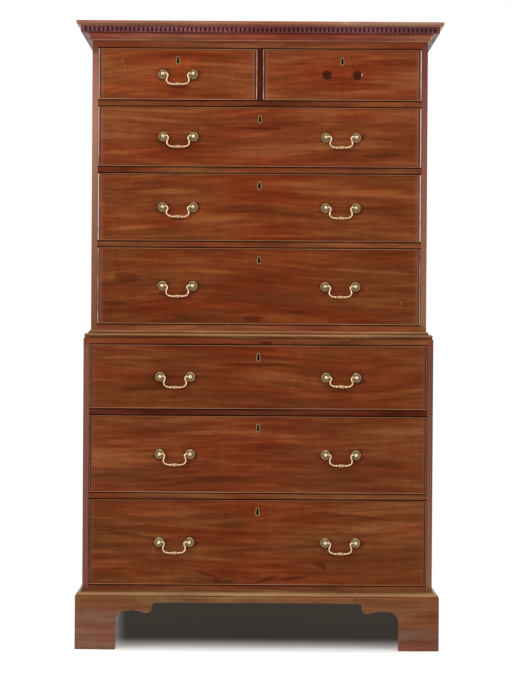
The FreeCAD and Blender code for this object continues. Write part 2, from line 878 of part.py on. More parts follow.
# ---------------------------------------------------------------- brassware, made once and copied
# a rose: a dished round plate with a raised rim, its back on the drawer face (Y = 0)
rose = document.addObject("PartDesign::Body", "rose")
rose_outline = sketch(
    rose,
    "rose_outline",
    "XY_Plane",
    [
        ("shank_diameter / 2 + shank_clearance", "0"),
        ("rose_radius", "0"),
        ("rose_radius", "-rose_edge"),
        ("rose_radius - rose_rim", "-rose_edge", 0.558, "right"),
        ("rose_radius - rose_rim - rose_rim_foot", "-rose_dish"),
        ("rose_radius * 0.56", "-rose_dish", 3.136, "right"),
        ("shank_diameter / 2 + rose_boss_wall", "-rose_dish - rose_boss", 1.25, "right"),
        ("shank_diameter / 2 + shank_clearance", "-rose_dish - rose_boss"),
    ],
)
rose_turned = rose.newObject("PartDesign::Revolution", "rose_turned")
rose_turned.Profile = rose_outline
rose_turned.ReferenceAxis = (rose_outline, ["V_Axis"])
rose.Tip = rose_turned

# a pommel post: a ball on a neck with a collar, and a shank through the drawer front
post = document.addObject("PartDesign::Body", "post")
post_outline = sketch(
    post,
    "post_outline",
    "XY_Plane",
    [
        ("0", "-pivot_out - pommel_radius"),
        ("pommel_radius", "-pivot_out", "pommel_radius", "left"),
        ("pommel_radius * 0.5", "-pivot_out + pommel_radius * 0.866", "pommel_radius", "left"),
        ("shank_diameter / 2 + post_neck", "-rose_dish - rose_boss - post_collar", 0.985, "right"),
        ("shank_diameter / 2 + post_neck", "-rose_dish - rose_boss"),
        ("shank_diameter / 2", "-rose_dish - rose_boss"),
        ("shank_diameter / 2", "front_thickness + shank_tail"),
        ("0", "front_thickness + shank_tail"),
    ],
)
post_turned = post.newObject("PartDesign::Revolution", "post_turned")
post_turned.Profile = post_outline
post_turned.ReferenceAxis = (post_outline, ["V_Axis"])
post.Tip = post_turned
pin_hole = rod(
    "pin_hole",
    "bail_wire / 2 + pin_clearance",
    "pommel_radius + pin_reach + 2 * pin_slack",
    ("-pin_reach - pin_slack", "-pivot_out", 0),
    ((0, 1, 0), 90),
)
drilled_post = cut("drilled_post", post, [pin_hole])

nut_blank = box(
    "nut_blank",
    ("nut_width", "nut_thickness", "nut_width"),
    ("-nut_width / 2", "front_thickness", "-nut_width / 2"),
)
nut_bore = rod(
    "nut_bore",
    "shank_diameter / 2 + shank_clearance",
    "nut_thickness",
    (0, "front_thickness + nut_thickness", 0),
    ((1, 0, 0), 90),
)
nut = cut("nut", nut_blank, [nut_bore])


def keyhole_steps(width, height):
    """A keyhole with a narrow round head, straight flaring sides and a wide round foot."""
    head = f"({width}) * 0.36"
    foot = f"({width}) / 2"
    return [
        (f"-({head})", f"({height}) / 2 - {head}"),
        (f"-({foot})", f"-({height}) / 2 + {foot}"),
        (foot, f"-({height}) / 2 + {foot}", HALF_ROUND, "left"),
        (head, f"({height}) / 2 - {head}"),
    ]


def keyhole_prism(name, width, height, length):
    """A keyhole-shaped prism going back from the drawer face."""
    body = document.addObject("PartDesign::Body", name)
    steps = keyhole_steps(width, height)
    head = f"({width}) * 0.36"
    closing = (steps[0][0], steps[0][1], HALF_ROUND, "left")
    outline = sketch(body, f"{name}_outline", "XZ_Plane", [closing] + steps[1:])
    padded(body, outline, length, backwards=True)
    return body


escutcheon_blank = keyhole_prism(
    "escutcheon_blank", "escutcheon_width", "escutcheon_height", "escutcheon_depth"
)
keyway = keyhole_prism("keyway", "keyhole_width", "keyhole_height", "front_thickness - lock_depth")
escutcheon = cut("escutcheon", escutcheon_blank, [keyway])

# a drawer lock: a case let into the back of the front and a plate across it
lock_case = box(
    "lock_case",
    ("lock_width - 2 * lock_lip", "lock_depth - lock_plate", "lock_height"),
    ("-lock_width / 2 + lock_lip", "front_thickness - lock_depth", "-lock_height / 2"),
)
lock_back = box(
    "lock_back",
    ("lock_width", "lock_plate", "lock_height"),
    ("-lock_width / 2", "front_thickness - lock_plate", "-lock_height / 2"),
)
lock_body = fused("lock_body", [lock_case, lock_back])

# the bail: a swan-necked loop, with a swelling grip between two collars
PIN_END = "(post_spacing / 2 + pin_reach)"
SLOPE_OUT = "sin(neck_slope * 1 deg)"
SLOPE_DOWN = "cos(neck_slope * 1 deg)"
NECK_X = f"(neck_start - neck_radius * {SLOPE_DOWN})"
NECK_Z = f"(-neck_radius - neck_radius * {SLOPE_OUT})"
CORNER_X = f"({NECK_X} + neck_length * {SLOPE_OUT})"
CORNER_Z = f"({NECK_Z} - neck_length * {SLOPE_DOWN})"
CORNER_RADIUS = f"((bail_drop + {CORNER_Z}) / (1 + {SLOPE_OUT}))"
GRIP_START = f"({CORNER_X} - {CORNER_RADIUS} * {SLOPE_DOWN})"

bail = document.addObject("PartDesign::Body", "bail")
half_route = [
    (PIN_END, "0"),
    ("neck_start", "0"),
    (NECK_X, NECK_Z, "neck_radius", "left"),
    (CORNER_X, CORNER_Z),
    (GRIP_START, "-bail_drop", CORNER_RADIUS, "right"),
]
other_half = [
    (f"-{GRIP_START}", "-bail_drop"),
    (f"-{CORNER_X}", CORNER_Z, CORNER_RADIUS, "right"),
    (f"-{NECK_X}", NECK_Z),
    ("-neck_start", "0", "neck_radius", "left"),
    (f"-{PIN_END}", "0"),
]
bail_route = sketch(bail, "bail_route", "XZ_Plane", half_route + other_half, closed=False)
bail_section = bail.newObject("Sketcher::SketchObject", "bail_section")
bail_section.AttachmentSupport = [(origin_part(bail, "YZ_Plane"), "")]
bail_section.MapMode = "FlatFace"
bail_section.setExpression("AttachmentOffset.Base.z", bound(PIN_END))
bail_section.addGeometry(Part.Circle(FreeCAD.Vector(), FreeCAD.Vector(0, 0, 1), number("bail_wire / 2")))
bail_section.addConstraint(Sketcher.Constraint("Coincident", 0, 3, -1, 1))
held_radius = bail_section.addConstraint(Sketcher.Constraint("Radius", 0, number("bail_wire / 2")))
bail_section.setExpression(f"Constraints[{held_radius}]", bound("bail_wire / 2"))
bail_wire = bail.newObject("PartDesign::AdditivePipe", "bail_wire_pipe")
bail_wire.Profile = bail_section
bail_wire.Spine = (bail_route, [])
bail.Tip = bail_wire
COLLAR_END = "(grip_length / 2 + collar_length)"
TAPER_END = f"({COLLAR_END} + grip_taper)"
WIRE_TOP = "-bail_drop + bail_wire / 2"
grip_outline = sketch(
    bail,
    "grip_outline",
    "XZ_Plane",
    [
        (f"-{TAPER_END}", "-bail_drop"),
        (f"-{TAPER_END}", f"{WIRE_TOP} - grip_sink"),
        (f"-{COLLAR_END}", f"{WIRE_TOP} + grip_step"),
        (f"-{COLLAR_END}", "-bail_drop + collar_radius"),
        ("-grip_length / 2", "-bail_drop + collar_radius"),
        ("-grip_length / 2", f"{WIRE_TOP} + grip_step"),
        ("0", "-bail_drop + grip_radius", 3.817, "right"),
        ("grip_length / 2", f"{WIRE_TOP} + grip_step", 3.817, "right"),
        ("grip_length / 2", "-bail_drop + collar_radius"),
        (COLLAR_END, "-bail_drop + collar_radius"),
        (COLLAR_END, f"{WIRE_TOP} + grip_step"),
        (TAPER_END, f"{WIRE_TOP} - grip_sink"),
        (TAPER_END, "-bail_drop"),
    ],
)
grip = bail.newObject("PartDesign::Revolution", "grip")
grip.Profile = grip_outline
grip.ReferenceAxis = (grip_outline, ["Edge13"])
bail.Tip = grip


# ---------------------------------------------------------------- drawers
def bead_strip(name, length):
    """A cock bead: a thin strip with a half-round nose, mitred at both ends."""
    profile = [
        ("-bead_depth", "0"),
        ("bead_out - bead_thickness / 2", "0"),
        ("bead_out - bead_thickness / 2", "bead_thickness", HALF_ROUND, "left"),
        ("-bead_depth", "bead_thickness"),
    ]
    return run_of(name, profile, length, "bead_thickness", ("mitre", "mitre"), "XZ_Plane")


def tails(name, corner_x, height, count):
    """Dovetails on the front end of a drawer side, wide at the tip."""
    pieces = []
    for index in range(count):
        tail = document.addObject("Part::Wedge", f"{name}_{index}")
        middle = f"({height} * {2 * index + 1} / {2 * count})"
        for side, formula in {
            "Xmin": 0,
            "Xmax": "linings",
            "Ymin": 0,
            "Ymax": "tail_length",
            "Zmin": "-tail_width / 2",
            "Zmax": "tail_width / 2",
            "X2min": 0,
            "X2max": "linings",
            "Z2min": "-tail_width / 2 + tail_flare",
            "Z2max": "tail_width / 2 - tail_flare",
        }.items():
            tail.setExpression(side, bound(formula))
        place(tail, corner_x, "front_thickness - tail_length", f"runner_clearance + {middle}")
        pieces.append(tail)
    return pieces


def drawer(name, width, height, depth, at, handles, bare=False):
    """One drawer, drawn from the middle of its opening's floor at the carcass front."""
    full = f"({width} - 2 * drawer_side_gap)"
    half = f"({full} / 2)"
    foot = "drawer_lift"
    tall = f"({height} - drawer_lift - drawer_gap)"
    side_tall = f"({height} - drawer_gap - side_drop - runner_clearance)"
    length = f"({depth} - back_board - drawer_rear_space)"
    reach = f"({length} - front_thickness)"
    floor = "(runner_clearance + bottom_inset)"
    count = max(2, int(number(side_tall) / number("tail_pitch")))
    eye = f"({height} / 2)"
    lock_level = f"({height} - keyhole_drop)"

    # the front, stepped back at its edges for the beads
    rear_part = box(
        f"{name}_blank",
        (full, "front_thickness - bead_depth", tall),
        (f"-{half}", "bead_depth", foot),
    )
    face_part = box(
        f"{name}_face",
        (f"{full} - 2 * bead_thickness", "bead_depth", f"{tall} - 2 * bead_thickness"),
        (f"-{half} + bead_thickness", 0, f"{foot} + bead_thickness"),
    )
    left_tails = tails(f"{name}_tail_left", f"-{half}", side_tall, count)
    right_tails = tails(f"{name}_tail_right", f"{half} - linings", side_tall, count)
    front_groove = box(
        f"{name}_front_groove",
        (f"{full} - 2 * linings", "groove_depth", "bottom_board"),
        (f"-{half} + linings", "front_thickness - groove_depth", floor),
    )
    tools = left_tails + right_tails + [front_groove]
    tools.append(copy_of(escutcheon_blank, f"{name}_escutcheon_seat", 0, 0, lock_level))
    tools.append(copy_of(keyway, f"{name}_keyway", 0, 0, lock_level))
    tools.append(copy_of(lock_body, f"{name}_lock_seat", 0, 0, lock_level))
    posts = [(middle, sign) for middle in handles for sign in (-1, 1)]
    if bare:
        posts = [("0", -1), ("0", 1)]
    bore = "shank_diameter / 2 + shank_clearance"
    forwards = ((1, 0, 0), 90)
    for index, (middle, sign) in enumerate(posts):
        post_x = f"{middle} + {sign} * post_spacing / 2"
        foot_of_bore = (post_x, "front_thickness", eye)
        tools.append(rod(f"{name}_bore_{index}", bore, "front_thickness", foot_of_bore, forwards))
        if bare:
            foot_of_scar = (post_x, "scar_depth", eye)
            tools.append(rod(f"{name}_scar_{index}", "scar_radius", "scar_depth", foot_of_scar, forwards))
    board = cut(f"{name}_board", fused(f"{name}_stepped", [rear_part, face_part]), tools)
    across = bead_strip(f"{name}_bead_across", f"{full} - 2 * bead_thickness")
    upright = bead_strip(f"{name}_bead_upright", f"{tall} - 2 * bead_thickness")
    middle_z = f"{foot} + {tall} / 2"
    beads = [
        copy_of(across, f"{name}_bead_top", 0, 0, f"{foot} + {tall} - bead_thickness"),
        copy_of(across, f"{name}_bead_bottom", 0, 0, f"{foot} + bead_thickness", ((0, 1, 0), 180)),
        copy_of(upright, f"{name}_bead_left", f"-{half} + bead_thickness", 0, middle_z, ((0, 1, 0), -90)),
        copy_of(upright, f"{name}_bead_right", f"{half} - bead_thickness", 0, middle_z, ((0, 1, 0), 90)),
    ]
    node(f"{name}_front", [board] + beads, at)

    # the oak box behind it
    sides = []
    for side, corner_x, groove_x, side_tails in (
        ("left", f"-{half}", f"-{half} + linings - groove_depth", left_tails),
        ("right", f"{half} - linings", f"{half} - linings", right_tails),
    ):
        plank = box(
            f"{name}_side_{side}",
            ("linings", reach, side_tall),
            (corner_x, "front_thickness", "runner_clearance"),
        )
        groove = box(
            f"{name}_groove_{side}",
            ("groove_depth", reach, "bottom_board"),
            (groove_x, "front_thickness", floor),
        )
        joined = fused(f"{name}_side_{side}_tailed", [plank] + side_tails)
        sides.append(cut(f"{name}_side_{side}_cut", joined, [groove]))
    bottom = box(
        f"{name}_bottom",
        (f"{full} - 2 * linings", f"{reach} + groove_depth", "bottom_board"),
        (f"-{half} + linings", "front_thickness - groove_depth", floor),
    )
    tongues = box(
        f"{name}_bottom_tongues",
        (f"{full} - 2 * linings + 2 * groove_depth", reach, "bottom_board"),
        (f"-{half} + linings - groove_depth", "front_thickness", floor),
    )
    back = box(
        f"{name}_back",
        (f"{full} - 2 * linings", "linings", f"{side_tall} - bottom_inset - bottom_board - back_drop"),
        (f"-{half} + linings", f"{length} - linings", f"{floor} + bottom_board"),
    )
    strips = [
        box(
            f"{name}_strip_{side}",
            ("strip_width", reach, "bottom_inset"),
            (corner_x, "front_thickness", "runner_clearance"),
        )
        for side, corner_x in (("left", f"-{half} + linings"), ("right", f"{half} - linings - strip_width"))
    ]
    node(f"{name}_box", sides + [fused(f"{name}_floor", [bottom, tongues]), back] + strips, at)

    # the brass on it
    brass = [
        copy_of(escutcheon, f"{name}_escutcheon", 0, 0, lock_level),
        copy_of(lock_body, f"{name}_lock", 0, 0, lock_level),
    ]
    if not bare:
        for index, (middle, sign) in enumerate(posts):
            post_x = f"{middle} + {sign} * post_spacing / 2"
            turn = ((0, 1, 0), 180) if sign > 0 else None
            brass.append(copy_of(rose, f"{name}_rose_{index}", post_x, 0, eye))
            brass.append(copy_of(drilled_post, f"{name}_post_{index}", post_x, 0, eye, turn))
            brass.append(copy_of(nut, f"{name}_nut_{index}", post_x, 0, eye))
    node(f"{name}_brassware", brass, at)
    middle_x, front_y, floor_z = at
    for index, middle in enumerate(handles):
        side = "" if len(handles) == 1 else ("_left", "_right")[index]
        hung = copy_of(bail, f"{name}_bail_copy{index}")
        node(
            f"{name}_bail{side}",
            [hung],
            (f"{middle_x} + {middle}", f"{front_y} - pivot_out", f"{floor_z} + {eye}"),
        )


SHORT_WIDTH = f"(({UPPER_INNER} - partition_thickness) / 2)"
SHORT_MIDDLE = f"(({UPPER_INNER} + partition_thickness) / 4)"
UPPER_HANDLES = ["-handle_reach_upper", "handle_reach_upper"]
LOWER_HANDLES = ["-handle_reach_lower", "handle_reach_lower"]
left_place = (f"-{SHORT_MIDDLE}", UPPER_FRONT, UPPER_FLOORS[3])
right_place = (SHORT_MIDDLE, UPPER_FRONT, UPPER_FLOORS[3])
drawer("top_left_drawer", SHORT_WIDTH, "row_one", "upper_depth", left_place, ["0"])
drawer("top_right_drawer", SHORT_WIDTH, "row_one", "upper_depth", right_place, [], bare=True)
for drawer_name, row_height, floor in (
    ("second_drawer", "row_two", UPPER_FLOORS[2]),
    ("third_drawer", "row_three", UPPER_FLOORS[1]),
    ("fourth_drawer", "row_four", UPPER_FLOORS[0]),
):
    drawer(drawer_name, UPPER_INNER, row_height, "upper_depth", ("0", UPPER_FRONT, floor), UPPER_HANDLES)
for drawer_name, row_height, floor in (
    ("fifth_drawer", "row_five", LOWER_FLOORS[2]),
    ("sixth_drawer", "row_six", LOWER_FLOORS[1]),
    ("bottom_drawer", "row_seven", LOWER_FLOORS[0]),
):
    drawer(drawer_name, LOWER_INNER, row_height, LOWER_DEPTH, ("0", LOWER_FRONT, floor), LOWER_HANDLES)

# ---------------------------------------------------------------- check and write
document.recompute()
failed = [piece.Name for piece in document.Objects if {"Invalid", "Error"} & set(piece.State)]
if failed:
    raise RuntimeError(f"failed to compute: {failed}")
for piece in nodes:
    if piece.Shape.isNull() or not piece.Shape.isValid() or not piece.Shape.Solids:
        raise RuntimeError(f"{piece.Label} has no valid solid")
os.makedirs("parts", exist_ok=True)
for piece in nodes:
    piece.Shape.exportStep(f"parts/{piece.Label}.step")
print(len(nodes), "nodes written")
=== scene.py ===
"""The looks of a mahogany chest on chest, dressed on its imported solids.

Metres, +Z up, front towards -Y, floor at Z = 0, as the solids are.
"""
import math

import bmesh
import bpy
import numpy as np
from mathutils import Matrix, Vector


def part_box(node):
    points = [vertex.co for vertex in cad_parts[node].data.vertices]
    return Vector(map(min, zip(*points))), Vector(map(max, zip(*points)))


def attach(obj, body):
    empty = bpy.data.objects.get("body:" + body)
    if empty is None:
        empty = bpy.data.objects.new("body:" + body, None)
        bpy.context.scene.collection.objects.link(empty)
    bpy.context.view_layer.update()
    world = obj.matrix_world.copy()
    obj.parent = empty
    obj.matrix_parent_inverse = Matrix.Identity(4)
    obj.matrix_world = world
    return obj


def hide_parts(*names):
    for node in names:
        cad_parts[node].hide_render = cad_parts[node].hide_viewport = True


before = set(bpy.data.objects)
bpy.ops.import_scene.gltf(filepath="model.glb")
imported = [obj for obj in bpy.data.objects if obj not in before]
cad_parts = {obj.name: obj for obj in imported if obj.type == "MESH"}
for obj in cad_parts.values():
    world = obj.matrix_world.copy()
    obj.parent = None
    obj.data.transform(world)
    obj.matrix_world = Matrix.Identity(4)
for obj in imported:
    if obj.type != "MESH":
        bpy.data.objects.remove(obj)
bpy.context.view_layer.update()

# ---------------------------------------------------------------- camera
# A long lens about six metres off, at half the chest's height and squarely in front,
# aimed a touch downwards, with a slight roll. At the fronts it takes in two metres of height.
MM = 0.001
CAMERA_STAND = Vector((-0.0073, -6.17, 0.950))
CAMERA_AIM = Vector((-0.0073, -0.25, 0.9121))
CAMERA_ROLL = math.radians(0.36)
VIEW_HEIGHT = 2.008269

lens = bpy.data.cameras.new("camera")
lens.sensor_fit = "VERTICAL"
lens.sensor_height = 24
lens.lens = lens.sensor_height * (CAMERA_AIM - CAMERA_STAND).length / VIEW_HEIGHT
lens.clip_end = 60
camera = bpy.data.objects.new("camera", lens)
level = (CAMERA_AIM - CAMERA_STAND).to_track_quat("-Z", "Y").to_matrix()
camera.rotation_euler = (level @ Matrix.Rotation(CAMERA_ROLL, 3, "Z")).to_euler()
camera.location = CAMERA_STAND
bpy.context.scene.collection.objects.link(camera)
bpy.context.scene.camera = camera
bpy.context.scene.view_settings.view_transform = "Standard"

# ---------------------------------------------------------------- floor and light
# A white studio floor that rises to nothing behind: only a shadow, painted on it under the
# chest, shows. Two tall soft boxes stand left and right in front, with a third overhead, and
# the room is plain white.
FLOOR_WHITE = "#F7F6F5"
ROOM_WHITE = "#FFFFFF"
ROOM_FILL = 0.30
FLOOR_HALF = 9.0
# under the chest a deep shadow is painted on the floor, fading in from four sides: the way it
# grows across the floor, where it starts and where it is full
PAINTED_SHADOW_DARK = "#2B2724"
PAINTED_SHADOW_GLOW = "#37322D"
PAINTED_SHADOW_FADES = (
    ((1, 0.07, 0), -0.550, -0.395),
    ((1, -0.07, 0), 0.56, 0.49),
    ((0, 1, 0), -0.440, -0.012),
    ((0, 1, 0), 1.15, 0.75),
)
# the floor's own lift near the chest, and the ring beyond which it is plain white
FLOOR_LIFT = "#DDDCDA"
CLEAR_FLOOR = (0.75, 1.9)
# where each soft box stands, what it points at, its width and height, and its watts
SOFT_BOXES = {
    "left_box": ((-3.6, -3.6, 1.9), (0, 0, 1.0), (1.1, 2.6), 76),
    "right_box": ((3.7, -3.3, 1.8), (0, 0, 1.0), (1.1, 2.6), 62),
    "over_box": ((0, -2.2, 4.2), (0, 0.1, 0.9), (3.2, 1.6), 58),
}


def linear(colour):
    """An sRGB hex colour as linear red, green, blue and 1."""
    parts = np.array([int(colour[at : at + 2], 16) / 255 for at in (1, 3, 5)])
    light = np.where(parts <= 0.04045, parts / 12.92, ((parts + 0.055) / 1.055) ** 2.4)
    return [*light.tolist(), 1.0]


def add(tree, kind, *feeds, stops=(), **settings):
    """One shader node, its inputs fed in their order and the rest set by name.

    kind is Blender's name for it, without the ShaderNode in front.
    A feed is a node, one output of a node, a number, a triple or a hex colour, and None
    leaves its input alone. A setting is a property of the node, or an input that it names.
    stops are a ramp's colours, as (place, hex colour or shade of grey).
    """
    new = tree.nodes.new(f"ShaderNode{kind}")
    named = []
    for key, value in settings.items():
        if hasattr(new, key):
            setattr(new, key, value)
        else:
            named.append((new.inputs[key.replace("_", " ")], value))
    for socket, value in [*zip([socket for socket in new.inputs if socket.enabled], feeds), *named]:
        if isinstance(value, bpy.types.Node):
            value = next(output for output in value.outputs if output.enabled)
        if isinstance(value, bpy.types.NodeSocket):
            tree.links.new(value, socket)
        elif value is not None:
            socket.default_value = linear(value) if isinstance(value, str) else value
    if stops:
        ramp = new.color_ramp.elements
        ramp[0].position, ramp[1].position = stops[0][0], stops[-1][0]
        for spot, _ in stops[1:-1]:
            ramp.new(spot)
        for stop, (_, shade) in zip(sorted(ramp, key=lambda stop: stop.position), stops):
            stop.color = linear(shade) if isinstance(shade, str) else (shade, shade, shade, 1)
    return new


def fresh_material(name):
    """An empty node material and its tree."""
    material = bpy.data.materials.new(name)
    material.use_nodes = True
    material.node_tree.nodes.clear()
    return material, material.node_tree


def seen_rays(tree):
    """1 for rays from the camera and those that mirror or pass through, 0 for light's own rays."""
    path = add(tree, "LightPath").outputs
    seen = add(tree, "Math", path["Is Camera Ray"], path["Is Glossy Ray"], operation="MAXIMUM")
    return add(tree, "Math", seen, path["Is Transmission Ray"], operation="MAXIMUM")


floor_material, tree = fresh_material("painted_studio_floor")
place = add(tree, "TexCoord").outputs["Object"]
under = 1.0
for way, start, full in PAINTED_SHADOW_FADES:
    reach = add(tree, "VectorMath", place, way, operation="DOT_PRODUCT")
    fade = add(tree, "MapRange", reach, start, full, interpolation_type="SMOOTHSTEP")
    under = add(tree, "Math", fade, under, operation="MULTIPLY")
away = add(tree, "VectorMath", place, operation="LENGTH")
open_floor = add(tree, "MapRange", away, *CLEAR_FLOOR, interpolation_type="SMOOTHSTEP")
seen = seen_rays(tree)
# the painted shadow darkens both the floor's colour and its glow
paint = add(tree, "Mix", under, FLOOR_WHITE, PAINTED_SHADOW_DARK, data_type="RGBA")
glow = add(tree, "Mix", under, FLOOR_LIFT, PAINTED_SHADOW_GLOW, data_type="RGBA")
matt = add(tree, "BsdfDiffuse", paint)
lift = add(tree, "Emission", glow, seen)
near = add(tree, "AddShader", matt, lift)
far = add(tree, "Emission", ROOM_WHITE, 1.0)
clear = add(tree, "Math", seen, open_floor, operation="MULTIPLY")
add(tree, "OutputMaterial", add(tree, "MixShader", clear, near, far))

floor_corners = [(x * FLOOR_HALF, y * FLOOR_HALF, 0) for x, y in ((-1, -1), (1, -1), (1, 1), (-1, 1))]
floor_mesh = bpy.data.meshes.new("studio_floor")
floor_mesh.from_pydata(floor_corners, [], [(0, 1, 2, 3)])
floor_mesh.materials.append(floor_material)
studio_floor = bpy.data.objects.new("studio_floor", floor_mesh)
bpy.context.scene.collection.objects.link(studio_floor)

room = bpy.data.worlds.new("white_room")
bpy.context.scene.world = room
room.use_nodes = True
tree = room.node_tree
tree.nodes.clear()
fill = add(tree, "Background", ROOM_WHITE, ROOM_FILL)
white = add(tree, "Background", ROOM_WHITE, 1.0)
add(tree, "OutputWorld", add(tree, "MixShader", seen_rays(tree), fill, white))

for name, (stand, aim, size, watts) in SOFT_BOXES.items():
    lamp = bpy.data.lights.new(name, "AREA")
    lamp.shape = "RECTANGLE"
    lamp.size, lamp.size_y = size
    lamp.energy = watts
    box = bpy.data.objects.new(name, lamp)
    box.location = stand
    box.rotation_euler = (Vector(aim) - Vector(stand)).to_track_quat("-Z", "Y").to_euler()
    bpy.context.scene.collection.objects.link(box)

# ---------------------------------------------------------------- carcass boards
# Two cases of solid mahogany boards, planed and glued up, their grain upright on the sides.
# Each board keeps its own figure, and its arrises are worn a little round.
ARRIS_WORN = 0.5 * MM
SHORTEST_WORN = 2.4 * MM
SHARP = math.radians(30)
CREASE = math.radians(38)
SIDE_BROWNS = ("#4A1E12", "#6A341E", "#8E5230")
# dark wax in hollows and joints, which also stands for painted shade
WAX_AND_SHADE_DARK = "#2E0F05"
# dirt beside the cock beads, which also stands for their painted shade
DIRT_AND_SHADE_DARK = "#240B04"
PORE_DARK = "#241008"
HEART_RED = "#FFD2CC"
AMBER = "#D68A4E"
# each front edge's colours, worn by hands and faded by light, with a painted reflection of
# the soft boxes on them: (share of the way down, colour)
EDGE_WEAR_AND_GLARE = {
    "upper_side_left": (
        (0.0, "#6E4030"),
        (0.086, "#6E4030"),
        (0.1, "#95635A"),
        (0.3, "#AC7D6B"),
        (0.62, "#906456"),
        (0.94, "#784E44"),
        (0.96, "#7C4E30"),
    ),
    "upper_side_right": (
        (0.0, "#6A3A30"),
        (0.1, "#683A3B"),
        (0.34, "#84524B"),
        (0.67, "#8B5E4C"),
        (0.95, "#8D6B52"),
        (0.97, "#80502F"),
    ),
    "lower_side_left": (
        (0.0, "#7A4327"),
        (0.022, "#7A4327"),
        (0.04, "#835343"),
        (0.5, "#7B524C"),
        (0.95, "#7C4F48"),
        (0.975, "#6C3E28"),
    ),
    "lower_side_right": (
        (0.0, "#7A4327"),
        (0.022, "#74412B"),
        (0.04, "#694339"),
        (0.5, "#765041"),
        (0.95, "#87644A"),
        (0.975, "#6C3E28"),
    ),
}
grain_dice = np.random.default_rng(1768)


def solids_of(node):
    """The separate closed solids of a node, in order, as (points, triangles).

    A node's triangles follow one another solid by solid, and every edge of a closed solid
    is walked once each way. So the count of edges still walked one way only comes back
    to nothing exactly where a solid ends. Points are told apart to a micrometre.
    """
    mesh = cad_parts[node].data
    places = np.empty(len(mesh.vertices) * 3)
    mesh.vertices.foreach_get("co", places)
    corners = np.empty(len(mesh.loops), dtype=np.int64)
    mesh.loops.foreach_get("vertex_index", corners)
    micrometres = np.round(places.reshape(-1, 3) * 1e6).astype(np.int64)
    spots, same = np.unique(micrometres, axis=0, return_inverse=True)
    walks = same.reshape(-1)[corners].reshape(-1, 3)
    start, end = walks.reshape(-1), np.roll(walks, -1, axis=1).reshape(-1)
    low, high = np.minimum(start, end), np.maximum(start, end)
    edge, way = low * len(spots) + high, np.sign(end - start)
    order = np.argsort(edge, kind="stable")
    running = np.cumsum(way[order])
    before = np.concatenate(([0], running[:-1]))
    change = np.empty(len(edge), dtype=np.int64)
    change[order] = np.abs(running) - np.abs(before)
    tally = np.cumsum(change)[2::3]
    solids, first = [], 0
    for last in np.flatnonzero(tally == 0) + 1:
        used, local = np.unique(walks[first:last], return_inverse=True)
        triangles = local.reshape(-1, 3)
        real = (triangles != np.roll(triangles, 1, axis=1)).all(axis=1)
        if len(used) > 3:
            solids.append((spots[used] * 1e-6, triangles[real]))
        first = last
    return solids


def store(mesh, name, values):
    """Keep a number or a triple for each point of the mesh, where its material reads it."""
    values = np.asarray(values, dtype=np.float32)
    kind, key = ("FLOAT_VECTOR", "vector") if values.ndim > 1 else ("FLOAT", "value")
    mesh.attributes.new(name, kind, "POINT").data.foreach_set(key, values.reshape(-1))


def lay_grain(mesh, points, boards, axis):
    """Store each point's place in its own board, as (along, across, through) in metres.

    axis is the way the grain runs. Every board starts somewhere else in the tree, so no
    two boards show the same figure.
    """
    turned = {"X": (0, 2, 1), "Y": (1, 2, 0), "Z": (2, 0, 1)}[axis]
    starts = grain_dice.uniform(-4, 4, (int(boards.max()) + 1, 3))
    store(mesh, "grain", np.asarray(points)[:, turned] + starts[boards])


def lay_edges(mesh, points, boards):
    """Store how high each point lies above its board's middle, and half the board's height."""
    rise = np.zeros((len(points), 3))
    for board in range(int(boards.max()) + 1):
        mine = boards == board
        low, high = points[mine, 2].min(), points[mine, 2].max()
        rise[mine, 0] = points[mine, 2] - (low + high) / 2
        rise[mine, 1] = (high - low) / 2
    store(mesh, "rise", rise)


def piece(name, mesh, material, body, stands_for=()):
    """An object at the origin, riding on its body and standing for its nodes."""
    mesh.materials.append(material)
    mesh.polygons.foreach_set("use_smooth", np.ones(len(mesh.polygons), dtype=bool))
    mesh.set_sharp_from_angle(angle=CREASE)
    made = bpy.data.objects.new(name, mesh)
    bpy.context.scene.collection.objects.link(made)
    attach(made, body)
    if stands_for:
        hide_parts(*stands_for)
    return made


def boards_from(name, solids, material, body, slot, axis, stands_for=(), arris=ARRIS_WORN):
    """The solids as finished boards: corners joined, arrises eased, grain laid along axis."""
    shape = bmesh.new()
    board_of = []
    for board, (points, triangles) in enumerate(solids):
        corners = [shape.verts.new(point) for point in points]
        board_of += [board] * len(points)
        for triangle in triangles:
            shape.faces.new([corners[corner] for corner in triangle])
    number = shape.verts.layers.int.new("board")
    for corner, board in zip(shape.verts, board_of):
        corner[number] = board
    # only long sharp edges are worn: the rims of bores and keyholes stay crisp
    eased = shape.edges.layers.float.new("bevel_weight_edge")
    for edge in shape.edges:
        if edge.calc_length() > SHORTEST_WORN and edge.calc_face_angle(0) > SHARP:
            edge[eased] = 1.0
    mesh = bpy.data.meshes.new(name)
    shape.to_mesh(mesh)
    shape.free()
    places = np.empty(len(mesh.vertices) * 3)
    mesh.vertices.foreach_get("co", places)
    boards = np.empty(len(mesh.vertices), dtype=np.int32)
    mesh.attributes["board"].data.foreach_get("value", boards)
    lay_grain(mesh, places.reshape(-1, 3), boards, axis)
    lay_edges(mesh, places.reshape(-1, 3), boards)
    made = piece(name, mesh, material, body, stands_for)
    worn = made.modifiers.new("worn_arris", "BEVEL")
    worn.width = arris
    worn.segments = 2
    worn.limit_method = "WEIGHT"
    worn.harden_normals = True
    return made


def grain_figure(tree, laid, scale, **settings):
    """Noise drawn out along the grain: scale is how often it changes in a metre each way."""
    drawn = add(tree, "Mapping", laid, Scale=scale)
    return add(tree, "TexNoise", drawn, Scale=1.0, **settings)


